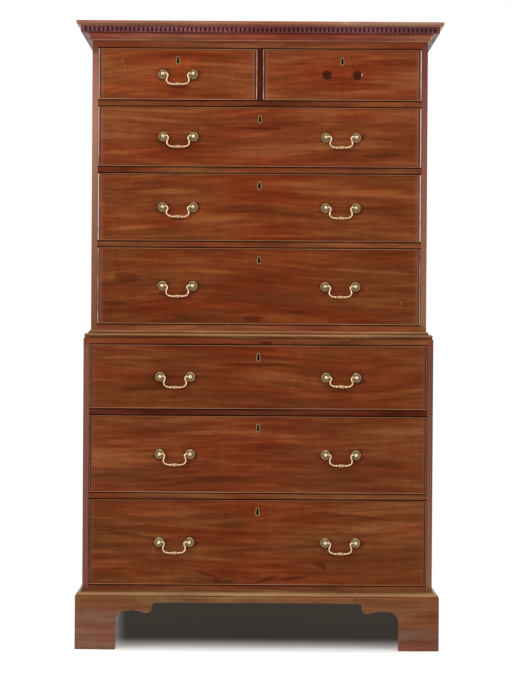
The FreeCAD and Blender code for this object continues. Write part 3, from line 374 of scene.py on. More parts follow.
def blotch(tree, ragged, place, mark):
    """A ragged oval mark that fades a third of its reach either way: 1 inside, 0 outside.

    mark is (x, z, half length, half height, degrees), in millimetres on the front.
    """
    x, z, half_length, half_height, degrees = mark
    turned = add(
        tree,
        "Mapping",
        place,
        (x * MM, 0, z * MM),
        (0, -math.radians(degrees), 0),
        (half_length * MM, 1e3, half_height * MM),
        vector_type="TEXTURE",
    )
    reach = add(tree, "VectorMath", turned, operation="LENGTH")
    uneven = add(tree, "Math", reach, ragged, operation="ADD")
    return add(tree, "MapRange", uneven, 1.35, 0.65, interpolation_type="SMOOTHSTEP")


def mahogany_figure(tree, laid, cloud, streak, gleam):
    """How light the wood is along its grain, with the bent grain, the clouds and the streaks.

    Clouds a finger high and a hand long lie under streaks a few millimetres thick, both
    along the grain, with here and there a golden gleam. Across them runs a faint ripple, a
    finger wide. cloud, streak and gleam say how strong each is.
    """
    # the trunk's slow waves push the streaks up and down
    waves = add(tree, "TexNoise", laid, Scale=1.5, Detail=1.0, Roughness=0.4).outputs["Color"]
    centred = add(tree, "VectorMath", waves, (0.5, 0.5, 0.5), operation="SUBTRACT")
    push = add(tree, "VectorMath", centred, (0.0, 0.10, 0.03), operation="MULTIPLY")
    bent = add(tree, "VectorMath", laid, push, operation="ADD")

    clouds = grain_figure(tree, bent, (3.4, 24, 16), Detail=3.0, Roughness=0.55)
    streaks = grain_figure(tree, bent, (6.5, 84, 50), Detail=4.0, Roughness=0.6)
    hairs = grain_figure(tree, bent, (26, 760, 420), Detail=2.0, Roughness=0.6)
    ripples = grain_figure(tree, bent, (58, 9, 9), Detail=1.0, Distortion=0.6)
    total = 0.5
    for texture, weight in ((clouds, cloud), (streaks, streak), (hairs, 0.26), (ripples, 0.1)):
        share = add(tree, "MapRange", texture, 0.0, 1.0, -0.95 * weight, 0.95 * weight, clamp=False)
        total = add(tree, "Math", share, total, operation="ADD")
    gleams = grain_figure(tree, bent, (3.6, 40, 26), Detail=3.0, Roughness=0.55)
    gleams = add(tree, "MapRange", gleams, 0.54, 0.74, 0.0, gleam)
    return add(tree, "Math", gleams, total, operation="ADD"), bent, clouds, streaks


def bloom_dirt_and_shade(tree, colour, inside, haze, dirt_and_shade_width):
    """A bloom on the polish towards a front's ends, and dirt and painted shade along the cock beads there.

    inside is how far in from the nearer end a place lies, and grimy how wide the dark band is.
    """
    bloom = add(tree, "MapRange", inside, 17 * MM, 1 * MM, 0.0, 0.55)
    colour = add(tree, "Mix", bloom, colour, haze, data_type="RGBA")
    # dirt, and painted shade of the cock bead in the corner where it stands up from the front
    dirt_and_shade_share = add(tree, "MapRange", inside, dirt_and_shade_width, dirt_and_shade_width - 1.8 * MM, 0.0, 0.85)
    return add(tree, "Mix", dirt_and_shade_share, colour, DIRT_AND_SHADE_DARK, data_type="RGBA")


def worn_edge_and_glare(tree, colour, spots, edge):
    """The front edge of a board, in colours of wear and fading, with a painted reflection of the soft boxes.
    """
    edge_y, top, foot, tints = edge
    down = add(tree, "MapRange", spots["Z"], top, foot)
    tint = add(tree, "ValToRGB", down, stops=tints)
    front = add(tree, "MapRange", spots["Y"], edge_y + 2 * MM, edge_y, 0.0, 0.85)
    return add(tree, "Mix", front, colour, tint, data_type="RGBA")


def wear_and_painted_light(tree, colour, clouds, worn_and_highlit):
    """Heights worn through to bare wood and painted with highlights, and hollows dark with wax and painted
    shade, where the mesh's tone says.
    """
    tone = add(tree, "Attribute", attribute_name="tone", attribute_type="GEOMETRY").outputs["Fac"]
    patchy = add(tree, "MapRange", clouds, 0.3, 0.7, 0.75, 1.2)
    tone = add(tree, "Math", tone, patchy, operation="MULTIPLY")
    pale = add(tree, "Math", tone, 0.0, operation="MAXIMUM", use_clamp=True)
    bare = add(tree, "ValToRGB", pale, stops=list(zip((0.45, 0.9), worn_and_highlit)))
    colour = add(tree, "Mix", pale, colour, bare, data_type="RGBA")
    wax_and_shade_share = add(tree, "Math", tone, -1.0, operation="MULTIPLY", use_clamp=True)
    return add(tree, "Mix", wax_and_shade_share, colour, WAX_AND_SHADE_DARK, data_type="RGBA")


def seam_wax_and_painted_shade(tree, colour, seam_wax_and_shade):
    """Wax and painted shade along the long edges of each board, a millimetre or two wide, widening the dark
    of the gaps beside it.
    """
    levels = add(tree, "Attribute", attribute_name="rise", attribute_type="GEOMETRY")
    levels = add(tree, "SeparateXYZ", levels.outputs["Vector"]).outputs
    off_middle = add(tree, "Math", levels["X"], operation="ABSOLUTE")
    inside = add(tree, "Math", levels["Y"], off_middle, operation="SUBTRACT")
    seam = add(tree, "MapRange", inside, 2.0 * MM, 0.7 * MM, 0.0, seam_wax_and_shade)
    return add(tree, "Mix", seam, colour, WAX_AND_SHADE_DARK, data_type="RGBA")


def mahogany(
    name,
    browns,
    seed,
    cloud=0.75,
    streak=0.6,
    gleam=0.25,
    shade=None,
    dark_marks=(),
    light_marks=(),
    gloss=0.36,
    sheen=0.3,
    face=None,
    edge=None,
    worn_and_highlit=None,
    seam_wax_and_shade=0.0,
    warmed=None,
):
    """French-polished mahogany: dark, middle and light browns in soft waxy streaks.

    It is redder in patches, and its pores are hair lines a few millimetres long, drawn half
    a millimetre thick so that they show.
    dark_marks and light_marks are stains and scratches, as (*mark of blotch, depth).
    shade is (z where it starts, z where it is full, depth), for a board that darkens.
    face is (middle x, half width, haze, width of the dark band) of a front: redder in its middle,
    hazy towards its ends, and dark along them with dirt and painted shade beside the cock beads.
    edge is (y, z at the top, z at the foot, colours downwards): a board's front edge, worn and faded, with a
    painted reflection.
    rubbed is the colour of half worn and of bare wood, also standing for painted highlights, where
    the mesh stores a tone: above 0 where it is worn pale and painted with highlights, and below 0
    where wax has gathered and shade is painted.
    seams is how dark a board is along its long edges, with wax and with painted shade of the gaps.
    warmed is (way, low, high, tint): wood more golden the further it lies along the way.
    """
    material, tree = fresh_material(name)
    grain = add(tree, "Attribute", attribute_name="grain", attribute_type="GEOMETRY")
    place = add(tree, "TexCoord").outputs["Object"]
    spots = add(tree, "SeparateXYZ", place).outputs
    laid = add(tree, "Mapping", grain.outputs["Vector"], (seed * 1.7, seed * 0.9, seed * 1.3))
    total, bent, clouds, streaks = mahogany_figure(tree, laid, cloud, streak, gleam)
    if shade:
        start, full, depth = shade
        levels = (start * MM, full * MM, 0.0, depth)
        dim = add(tree, "MapRange", spots["Z"], *levels, interpolation_type="SMOOTHSTEP")
        total = add(tree, "Math", total, dim, operation="SUBTRACT")
    ragged = add(tree, "MapRange", streaks, 0.0, 1.0, -0.9, 0.9, clamp=False)
    for marks, sign in ((dark_marks, -1), (light_marks, 1)):
        for *mark, depth in marks:
            spot = blotch(tree, ragged, place, mark)
            total = add(tree, "Math", spot, sign * depth, total, operation="MULTIPLY_ADD")
    colour = add(tree, "ValToRGB", total, stops=list(zip((0.05, 0.5, 1.0), browns)))

    # redder where the heart of the log comes near
    reds = grain_figure(tree, bent, (2.6, 15, 10), Detail=3.0)
    if face:
        # the middle of the sheet was cut closest to the heart, and its ends have gone golden
        middle, half_width, haze, dirt_and_shade_width = face
        off_middle = add(tree, "Math", spots["X"], middle, operation="SUBTRACT")
        aside = add(tree, "Math", off_middle, operation="ABSOLUTE")
        closer = add(tree, "MapRange", aside, 0.0, half_width, 0.09, -0.11)
        reds = add(tree, "Math", reds, closer, operation="ADD")
    reds = add(tree, "MapRange", reds, 0.38, 0.64)
    colour = add(tree, "Mix", reds, colour, HEART_RED, data_type="RGBA", blend_type="MULTIPLY")
    # open pores, filled with dark polish
    pore = grain_figure(tree, bent, (170, 2000, 1200), Detail=1.0)
    pore = add(tree, "MapRange", pore, 0.62, 0.72, 0.0, 0.45)
    colour = add(tree, "Mix", pore, colour, PORE_DARK, data_type="RGBA")

    if warmed:
        way, low, high, tint = warmed
        level = add(tree, "VectorMath", place, way, operation="DOT_PRODUCT")
        warm = add(tree, "MapRange", level, low, high, interpolation_type="SMOOTHSTEP")
        colour = add(tree, "Mix", warm, colour, tint, data_type="RGBA", blend_type="MULTIPLY")
    if face:
        inside = add(tree, "Math", half_width, aside, operation="SUBTRACT")
        colour = bloom_dirt_and_shade(tree, colour, inside, haze, dirt_and_shade_width)
    if edge:
        colour = worn_edge_and_glare(tree, colour, spots, edge)
    if worn_and_highlit:
        colour = wear_and_painted_light(tree, colour, clouds, worn_and_highlit)
    if seam_wax_and_shade:
        colour = seam_wax_and_painted_shade(tree, colour, seam_wax_and_shade)

    skin = add(tree, "Math", streaks, pore, operation="SUBTRACT")
    polish = add(
        tree,
        "BsdfPrincipled",
        Base_Color=colour,
        Roughness=add(tree, "MapRange", clouds, 0.3, 0.7, gloss + 0.07, gloss - 0.05),
        Normal=add(tree, "Bump", Height=skin, Strength=0.35, Distance=0.12 * MM),
        Specular_IOR_Level=sheen,
        Specular_Tint=AMBER,
        Coat_Weight=0.012,
        Coat_Roughness=0.2,
    )
    add(tree, "OutputMaterial", polish)
    return material


for start, (node, colours) in enumerate(EDGE_WEAR_AND_GLARE.items()):
    low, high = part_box(node)
    front_edge = (low[1], high[2], low[2], colours)
    side_mahogany = mahogany(
        f"polished_mahogany_{node}", SIDE_BROWNS, seed=0.3 + start, cloud=0.5, streak=0.8, edge=front_edge
    )
    boards_from(f"{node}_board", solids_of(node), side_mahogany, "carcass", "mahogany_case", "Z", [node])

# The tops and bottoms of the two cases are pine boards behind the mahogany front, and the
# backs are upright pine boards let into the sides, grey with age and never polished.
PINE_BROWNS = ("#6E472B", "#9C7048", "#BE9468")
BACK_BROWNS = ("#50382A", "#7C5C44", "#9C7C62")
OLD_DUST = "#3D332A"
PALE_FLECK = "#C9AE84"
ARRIS_SAWN = 0.35 * MM


def bare_wood(name, browns, seed, line_pitch, flecks=0.0, dirt=0.25):
    """Planed unpolished softwood or oak: growth lines along the grain, and years of dust.

    line_pitch is the spacing of the growth lines in millimetres. flecks is the share of
    pale medullary flecks, a centimetre long, that quartered oak shows.
    """
    material, tree = fresh_material(name)
    grain = add(tree, "Attribute", attribute_name="grain", attribute_type="GEOMETRY")
    laid = add(tree, "Mapping", grain.outputs["Vector"], (seed, seed * 0.6, seed * 1.4))
    often = 1000 / line_pitch
    drawn = (often * 0.012, often, often * 0.35)
    lines = grain_figure(tree, laid, drawn, Detail=3.0, Roughness=0.55, Distortion=0.25)
    dust = grain_figure(tree, laid, (3.0, 7, 7), Detail=4.0, Roughness=0.6)
    total = add(tree, "Math", lines, 1.5, dust, operation="MULTIPLY_ADD")
    total = add(tree, "MapRange", total, 0.75, 1.75)
    colour = add(tree, "ValToRGB", total, stops=list(zip((0.0, 0.5, 1.0), browns)))
    if flecks:
        rays = grain_figure(tree, laid, (70, 420, 60), Detail=2.0, Distortion=0.4)
        rays = add(tree, "MapRange", rays, 0.62, 0.68, 0.0, flecks)
        colour = add(tree, "Mix", rays, colour, PALE_FLECK, data_type="RGBA")
    dusty = add(tree, "MapRange", dust, 0.55, 0.75, 0.0, dirt)
    colour = add(tree, "Mix", dusty, colour, OLD_DUST, data_type="RGBA")
    bare = add(
        tree,
        "BsdfPrincipled",
        Base_Color=colour,
        Normal=add(tree, "Bump", Height=lines, Strength=0.5, Distance=0.25 * MM),
        Roughness=0.82,
        Specular_IOR_Level=0.2,
    )
    add(tree, "OutputMaterial", bare)
    return material


pine_inside = bare_wood("planed_pine_boards", PINE_BROWNS, 0.8, 9.0)
pine_back = bare_wood("weathered_pine_back_boards", BACK_BROWNS, 2.1, 12.0, dirt=0.6)
for node, pine, axis in (
    ("lower_top_board", pine_inside, "X"),
    ("lower_bottom_board", pine_inside, "X"),
    ("upper_top_board", pine_inside, "X"),
    ("upper_bottom_board", pine_inside, "X"),
    ("lower_back_boards", pine_back, "Z"),
    ("upper_back_boards", pine_back, "Z"),
):
    boards_from(f"{node}_pine", solids_of(node), pine, "carcass", "pine_carcass", axis, [node], ARRIS_SAWN)

# The back boards are nailed into the rebates of the sides and across the case boards with
# cut iron nails: four-sided rose heads, hammered down and rusted brown.
NAIL_HALF = 3.4 * MM
NAIL_RISE = 0.9 * MM
# a head's inner ring, as shares of its half width and of its rise
NAIL_INNER, NAIL_SHOULDER = 0.45, 0.8
BACK_BOARDS = 5
# nails stand this far in from a board's long edges and from the case's sides
BOARD_NAIL_INSET = 36 * MM
SIDE_NAIL_INSET = 4 * MM
SIDE_NAIL_PITCH = 165 * MM
# the lowest of them stands this far up, and none stands closer than this to the top
SIDE_NAIL_FOOT, SIDE_NAIL_TOP = 60 * MM, 30 * MM
# the heights of the case boards that the back boards are nailed across
NAIL_ROWS = {"lower": (0.165, 0.196, 0.905), "upper": (0.927, 0.949, 1.8355)}
IRON_BROWNS = ("#2A211C", "#5A3A28")


def nail_heads(places):
    """Low pyramids with cut-off corners, facing +Y: two rings of eight points and a peak each."""
    turn = np.arange(8) * math.pi / 4 + math.pi / 8
    rim = np.stack((np.cos(turn), np.zeros(8), np.sin(turn)), axis=1) * NAIL_HALF
    peak = np.array([[0.0, NAIL_RISE, 0.0]])
    head = np.concatenate((rim, rim * NAIL_INNER + (0, NAIL_RISE * NAIL_SHOULDER, 0), peak))
    points = (np.asarray(places)[:, None, :] + head[None]).reshape(-1, 3)
    ring = np.arange(8)
    after = np.roll(ring, -1)
    sides = np.stack((ring, ring + 8, after + 8, after), axis=1)
    tops = np.stack((ring + 8, np.full(8, len(head) - 1), after + 8), axis=1)
    faces = []
    for first in range(0, len(points), len(head)):
        faces += (sides + first).tolist() + (tops + first).tolist() + [(ring + first).tolist()]
    return points, faces


def rusted_iron(name):
    """Hammered iron, rusted brown all over with darker scale in patches a millimetre wide."""
    material, tree = fresh_material(name)
    place = add(tree, "TexCoord").outputs["Object"]
    scale = add(tree, "TexNoise", place, Scale=700.0, Detail=2.0)
    colour = add(tree, "ValToRGB", scale, stops=list(zip((0.0, 1.0), IRON_BROWNS)))
    iron = add(tree, "BsdfPrincipled", Base_Color=colour, Roughness=0.8, Metallic=0.3)
    add(tree, "OutputMaterial", iron)
    return material


nail_iron = rusted_iron("rusted_cut_nails")
for case, rows in NAIL_ROWS.items():
    low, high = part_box(f"{case}_back_boards")
    width = (high[0] - low[0]) / BACK_BOARDS
    spots = []
    for board in range(BACK_BOARDS):
        left, right = low[0] + board * width, low[0] + (board + 1) * width
        for z in rows:
            for x in (left + BOARD_NAIL_INSET, right - BOARD_NAIL_INSET):
                x_driven = x + grain_dice.uniform(-6, 6) * MM
                spots.append((x_driven, high[1], z + grain_dice.uniform(-3, 3) * MM))
    for x in (low[0] + SIDE_NAIL_INSET, high[0] - SIDE_NAIL_INSET):
        for z in np.arange(low[2] + SIDE_NAIL_FOOT, high[2] - SIDE_NAIL_TOP, SIDE_NAIL_PITCH):
            spots.append((x, high[1], float(z) + grain_dice.uniform(-8, 8) * MM))
    points, faces = nail_heads(spots)
    nails = bpy.data.meshes.new(f"{case}_back_nails")
    nails.from_pydata(points.tolist(), [], faces)
    piece(f"{case}_back_nails", nails, nail_iron, "carcass")

# ---------------------------------------------------------------- rails, blades, partition
# Between the drawers run mahogany blades, half-dovetailed into the sides, and the frieze
# above is one wide board. The upright between the short drawers is coloured nearly black.
RAIL_BROWNS = ("#4E2718", "#744427", "#905C37")
FRIEZE_BROWNS = ("#65331F", "#80492E", "#9E6641")
DARK_BLADE_BROWNS = ("#35130C", "#54261A", "#6E3B28")
PARTITION_BROWNS = ("#260A06", "#3E1611", "#562820")
# how dark the joints round the rails are, with wax and with painted shade of the gaps
SEAM_WAX_AND_SHADE = 0.8

# the topmost blade is dull with handling, and the rail over the fifth drawer is chipped
rail_mahogany = mahogany(
    "polished_mahogany_rails",
    RAIL_BROWNS,
    seed=2.2,
    dark_marks=[(-60, 1612, 470, 14, 0, 0.28), (20, 905, 20, 3, 0, 0.9)],
    light_marks=[(262, 916, 8, 2, 0, 0.5)],
    seam_wax_and_shade=SEAM_WAX_AND_SHADE,
    sheen=0.15,
)
# the blade over the sixth drawer was cut from a darker board
dark_blade_mahogany = mahogany(
    "polished_mahogany_dark_blade", DARK_BLADE_BROWNS, seed=2.9, seam_wax_and_shade=SEAM_WAX_AND_SHADE, sheen=0.15
)
frieze_mahogany = mahogany("polished_mahogany_frieze", FRIEZE_BROWNS, seed=3.1, seam_wax_and_shade=SEAM_WAX_AND_SHADE, sheen=0.15)
partition_mahogany = mahogany(
    "near_black_mahogany_partition", PARTITION_BROWNS, seed=1.2, streak=0.5, gleam=0.0
)
lower_rails = solids_of("lower_rails_and_blades")
darker = max(lower_rails[2:], key=lambda solid: solid[0][:, 2].min())
lower_rails = [solid for solid in lower_rails if solid is not darker]
for name, solids, material, node in (
    ("lower_rails", lower_rails, rail_mahogany, ["lower_rails_and_blades"]),
    ("lower_dark_blade", [darker], dark_blade_mahogany, []),
    ("upper_drawer_blades", solids_of("upper_drawer_blades"), rail_mahogany, ["upper_drawer_blades"]),
    (
        "upper_frieze_and_bottom_rail",
        solids_of("upper_frieze_and_bottom_rail"),
        frieze_mahogany,
        ["upper_frieze_and_bottom_rail"],
    ),
):
    boards_from(f"{name}_boards", solids, material, "carcass", "mahogany_rails", "X", node)
boards_from(
    "upper_partition_board",
    solids_of("upper_partition"),
    partition_mahogany,
    "carcass",
    "mahogany_dark",
    "Z",
    ["upper_partition"],
)

# Oak runners, thin dust boards and the little stops behind each front, planed and waxless.
OAK_BROWNS = ("#70482C", "#9C7048", "#C0956C")
RUNNER_BROWNS = ("#5E3D28", "#8A6242", "#AA8260")
oak_linings = bare_wood("planed_oak_linings", OAK_BROWNS, 1.4, 4.5, flecks=0.5)
oak_runners = bare_wood("rubbed_oak_runners", RUNNER_BROWNS, 3.4, 5.0, flecks=0.3, dirt=0.5)
for case in ("lower", "upper"):
    node = f"{case}_runners_and_dust_boards"
    solids = solids_of(node)
    boards_from(f"{node}_oak", solids, oak_runners, "carcass", "oak_linings", "Y", [node], ARRIS_SAWN)

# ---------------------------------------------------------------- drawer fronts
# Eight fronts sawn from figured boards, each from another part of the log, planed flat and
# French-polished. Marks are (x, z, half length, half height, degrees, depth) in millimetres.
# Round every handle the front is darkened: old polish and dirt that fingers and dusters have
# left, and a painted shadow of the brass, set a little right of and below it.
POST_HALF_SPACING = 45 * MM
# a front hangs this far over its opening's floor, and clears the blade above by this much
FRONT_LIFT, FRONT_GAP = 2.2 * MM, 2.4 * MM
BEAD_WIDTH = 3 * MM
UPPER_HAZE, LOWER_HAZE = "#8A5A4C", "#74493C"
# the three topmost fronts have a wider dark band of dirt and painted shade beside their cock beads
HIGH_DRAWERS = ("top_left_drawer", "top_right_drawer", "second_drawer")
HIGH_DIRT_AND_SHADE, LOW_DIRT_AND_SHADE = 4.8 * MM, 3.3 * MM
# where each drawer's handles sit, from the middle of its front
HANDLES = {
    "top_left_drawer": (0,),
    "top_right_drawer": (),
    "second_drawer": (-241, 241),
    "third_drawer": (-241, 241),
    "fourth_drawer": (-241, 241),
    "fifth_drawer": (-245, 245),
    "sixth_drawer": (-245, 245),
    "bottom_drawer": (-245, 245),
}
# dark ovals round each rose, beside the bail's arms and under its bow: dirt, and a painted shadow of the
# brass
HANDLE_SHADOW_AND_DIRT = [(side * 45 + 2, -2, 19, 18, 0, 0.5) for side in (-1, 1)]
HANDLE_SHADOW_AND_DIRT += [(side * 33 + 3, -16, 4.5, 13, side * 8, 0.45) for side in (-1, 1)]
HANDLE_SHADOW_AND_DIRT += [(1, -35, 30, 4.5, 0, 0.45)]
FRONTS = {
    "top_left_drawer": dict(
        browns=("#5D2B15", "#7D4222", "#9D6237"),
        seed=4.1,
        light_marks=[
            (-407, 1736, 5, 1.8, -60, 0.7),
            (-400, 1722, 4, 1.5, -50, 0.6),
            (-330, 1640, 60, 4, 2, 0.3),
        ],
        dark_marks=[(-150, 1735, 60, 5, 0, 0.22)],
    ),
    "top_right_drawer": dict(
        browns=("#572512", "#75391E", "#935632"),
        seed=5.6,
        light_marks=[(330, 1650, 70, 5, 1, 0.25)],
        dark_marks=[(120, 1640, 70, 5, 0, 0.22)],
    ),
    "second_drawer": dict(
        browns=("#562713", "#73381E", "#925831"),
        seed=7.3,
        dark_marks=[
            (-10, 1539, 70, 3.6, -2, 0.5),
            (130, 1552, 75, 7, 1, 0.3),
            (385, 1511, 45, 3, 0, 0.3),
            (360, 1462, 45, 8, 3, 0.32),
        ],
        light_marks=[
            (-420, 1530, 100, 80, 0, 0.12),
            (-380, 1470, 90, 7, 3, 0.4),
            (270, 1485, 110, 5, 2, 0.3),
            (-300, 1590, 120, 5, -2, 0.3),
        ],
    ),
    "third_drawer": dict(
        browns=("#552612", "#70391D", "#8F572F"),
        seed=8.4,
        light_marks=[
            (-420, 1310, 90, 90, 0, 0.1),
            (-413, 1362, 5, 2, -45, 0.7),
            (-150, 1268, 110, 7, 4, 0.4),
            (-380, 1243, 70, 7, 4, 0.4),
            (-270, 1352, 80, 9, 1, 0.35),
            (330, 1352, 90, 9, 2, 0.35),
            (80, 1222, 120, 5, 1, 0.3),
        ],
        dark_marks=[(-60, 1300, 150, 9, 2, 0.2)],
    ),
    "fourth_drawer": dict(
        browns=("#532513", "#6C371C", "#8B542C"),
        seed=9.6,
        shade=(1120, 990, 0.12),
        dark_marks=[
            (-222, 978, 22, 7, -12, 0.5),
            (-16, 978, 30, 12, 6, 0.5),
            (120, 996, 14, 6, 0, 0.5),
            (-395, 1098, 36, 13, -4, 0.35),
            (-430, 1020, 30, 6, 0, 0.3),
        ],
        light_marks=[
            (422, 1024, 1.8, 5, 0, 0.8),
            (330, 1118, 120, 5, -3, 0.4),
            (-130, 1115, 70, 5, -3, 0.3),
            (-360, 1150, 60, 5, 0, 0.3),
        ],
    ),
    "fifth_drawer": dict(
        browns=("#532511", "#6D371C", "#8E532D"),
        seed=11.2,
        dark_marks=[(-20, 841, 110, 4, 0, 0.35), (-300, 770, 90, 6, 2, 0.25)],
        light_marks=[(200, 750, 120, 6, 1, 0.3), (-380, 860, 80, 5, 0, 0.3)],
    ),
    "sixth_drawer": dict(
        browns=("#562915", "#713B20", "#935C36"),
        seed=12.9,
        shade=(600, 475, 0.08),
        dark_marks=[(-200, 500, 140, 8, 1, 0.25)],
        light_marks=[
            (-430, 560, 80, 90, 0, 0.08),
            (48, 490, 3.5, 3.5, 0, 0.3),
            (-100, 640, 150, 7, 1, 0.3),
        ],
    ),
    "bottom_drawer": dict(
        browns=("#522614", "#6E3A1E", "#8E5833"),
        seed=14.4,
        shade=(330, 215, 0.05),
        dark_marks=[
            (-150, 222, 30, 4, -16, 0.6),
            (-118, 203, 12, 8, -40, 0.6),
            (-90, 199, 26, 6, 4, 0.5),
            (25, 205, 34, 5, 18, 0.45),
            (112, 212, 34, 5, 8, 0.4),
            (184, 250, 20, 8, -4, 0.45),
            (196, 243, 8, 6, -30, 0.4),
            (-370, 335, 90, 6, -8, 0.35),
            (75, 300, 150, 5, 3, 0.25),
            (260, 398, 120, 6, -6, 0.28),
        ],
        light_marks=[
            (336, 372, 2.6, 3.4, 0, 0.9),
            (345, 366, 4.6, 2.4, 50, 0.9),
            (343, 283, 4, 2.5, 0, 0.3),
            (-190, 360, 120, 6, -4, 0.3),
        ],
    ),
}
SCAR_REACH = 18 * MM
SCAR_DARK = "#260F0B"
TORN_PALE = "#C49C8A"
# how dark a scar is at shares of its reach from the middle
SCAR_STOPS = ((0.0, 0.5), (0.12, 0.5), (0.22, 0.95), (0.36, 0.62), (0.48, 0.88), (0.74, 1.0), (0.88, 0.0))


def scarred(material, centres):
    """Dark rings of old lacquer and dirt where two brass roses sat on the polish.

    Each is about 26 mm across, dark at its edge and again round the empty bolt hole, with a
    paler band between that the rose kept from the light.
    """
    tree = material.node_tree
    polish = next(node for node in tree.nodes if node.type == "BSDF_PRINCIPLED")
    colour = polish.inputs["Base Color"].links[0].from_socket
    place = add(tree, "TexCoord").outputs["Object"]
    ragged = add(tree, "TexNoise", place, Scale=260.0, Detail=3.0)
    for centre in centres:
        away = add(tree, "VectorMath", place, centre, operation="SUBTRACT")
        flat = add(tree, "VectorMath", away, (1, 0, 1), operation="MULTIPLY")
        reach = add(tree, "VectorMath", flat, operation="LENGTH")
        uneven = add(tree, "Math", ragged, 3 * MM, reach, operation="MULTIPLY_ADD")
        ring = add(tree, "MapRange", uneven, 0.0, SCAR_REACH)
        stain = add(tree, "ValToRGB", ring, stops=SCAR_STOPS)
        colour = add(tree, "Mix", stain, colour, SCAR_DARK, data_type="RGBA")
    # beside the last one the rose's rim has lifted a sliver of polish from the pale wood
    middle_x, _, middle_z = centres[-1]
    ragged = add(tree, "MapRange", ragged, 0.0, 1.0, -0.4, 0.4)
    chip = blotch(tree, ragged, place, (middle_x / MM + 13.5, middle_z / MM + 1, 1.7, 5, -15))
    colour = add(tree, "Mix", chip, colour, TORN_PALE, data_type="RGBA")
    tree.links.new(colour.outputs["Result"], polish.inputs["Base Color"])


def front_of(drawer):
    """A front's low and high corners, the middle of its width and the height of its handles."""
    low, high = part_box(f"{drawer}_front")
    return low, high, (low[0] + high[0]) / 2, (low[2] - FRONT_LIFT + high[2] + FRONT_GAP) / 2


WAIST_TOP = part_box("waist_moulding")[1][2]
for drawer, look in FRONTS.items():
    low, high, middle_x, eye = front_of(drawer)
    # the handles' dirt and painted shadow join the front's own dark marks
    dirt = [
        (middle_x / MM + place + across, eye / MM + up, *oval)
        for place in HANDLES[drawer]
        for across, up, *oval in HANDLE_SHADOW_AND_DIRT
    ]
    marks = {**look, "dark_marks": look["dark_marks"] + dirt}
    half_face = (high[0] - low[0]) / 2 - BEAD_WIDTH
    haze = UPPER_HAZE if low[2] > WAIST_TOP else LOWER_HAZE
    dirt_and_shade_width = HIGH_DIRT_AND_SHADE if drawer in HIGH_DRAWERS else LOW_DIRT_AND_SHADE
    face = (middle_x, half_face, haze, dirt_and_shade_width)
    polished = mahogany(f"french_polished_mahogany_{drawer}", face=face, **marks)
    if drawer == "top_right_drawer":
        scarred(polished, [(middle_x + side * POST_HALF_SPACING, 0, eye) for side in (-1, 1)])
    node = f"{drawer}_front"
    boards_from(f"{node}_board", solids_of(node)[:1], polished, drawer, "mahogany_fronts", "X", [node])

# ---------------------------------------------------------------- cock beads
# Thin mahogany strips glued round every front, their half-round noses standing two
# millimetres proud and mitred at the corners. The noses are painted pale, as wear from dusters
# and as a painted highlight, and the flanks dark, as wax and as painted shade of the gaps.
BEAD_NOSE = 1.5 * MM
BEAD_PROUD = 2 * MM
BEAD_FLANK = 1.5 * MM
BEAD_DEPTH = 7 * MM
BEAD_STEPS = 13
BEAD_BROWNS = ("#4A2216", "#6E3E2C", "#8A5842")
BEAD_WEAR_AND_HIGHLIGHT = ("#D09A6A", "#F0CCBC")
# how dark the flanks are: wax, and painted shade of the gaps beside them
FLANK_WAX_AND_SHADE = -0.8
# how pale the bottom, right, top and left noses are, worn and painted with a highlight
BEAD_WEAR_AND_HIGHLIGHT_SHARES = {
    "top_left_drawer": (0.5, 0.7, 0.35, 0.8),
    "top_right_drawer": (0.4, 0.9, 0.35, 0.6),
    "second_drawer": (0.4, 0.95, 0.28, 0.8),
    "third_drawer": (0.42, 1.0, 0.3, 1.0),
    "fourth_drawer": (0.45, 0.6, 0.4, 0.7),
    "fifth_drawer": (0.42, 0.3, 0.4, 0.35),
    "sixth_drawer": (0.5, 0.35, 0.3, 0.3),
    "bottom_drawer": (0.45, 0.3, 0.25, 0.25),
}


def grid_faces(rows, columns, wrap_rows=True):
    """Quads over rings of points, row by row, and on request from the last ring to the first."""
    row = np.arange(rows if wrap_rows else rows - 1)[:, None]
    column = np.arange(columns)[None, :]
    down, right = (row + 1) % rows, (column + 1) % columns
    quad = (row * columns + column, row * columns + right, down * columns + right, down * columns + column)
    return np.stack(quad, axis=-1).reshape(-1, 4)


def tube_faces(rows, columns, first=0):
    """Faces of a tube of rings, flat at both its ends, whose points start with number first."""
    ends = [list(range(first, first + columns))]
    ends.append(list(range(first + (rows - 1) * columns, first + rows * columns)))
    return (grid_faces(rows, columns, wrap_rows=False) + first).tolist() + ends


def closed_mesh(name, points, faces):
    """A mesh of closed shells, with every shell's faces turned outwards."""
    shape = bmesh.new()
    corners = [shape.verts.new(point) for point in points]
    for face in faces:
        shape.faces.new([corners[corner] for corner in face])
    bmesh.ops.recalc_face_normals(shape, faces=shape.faces)
    mesh = bpy.data.meshes.new(name)
    shape.to_mesh(mesh)
    shape.free()
    return mesh


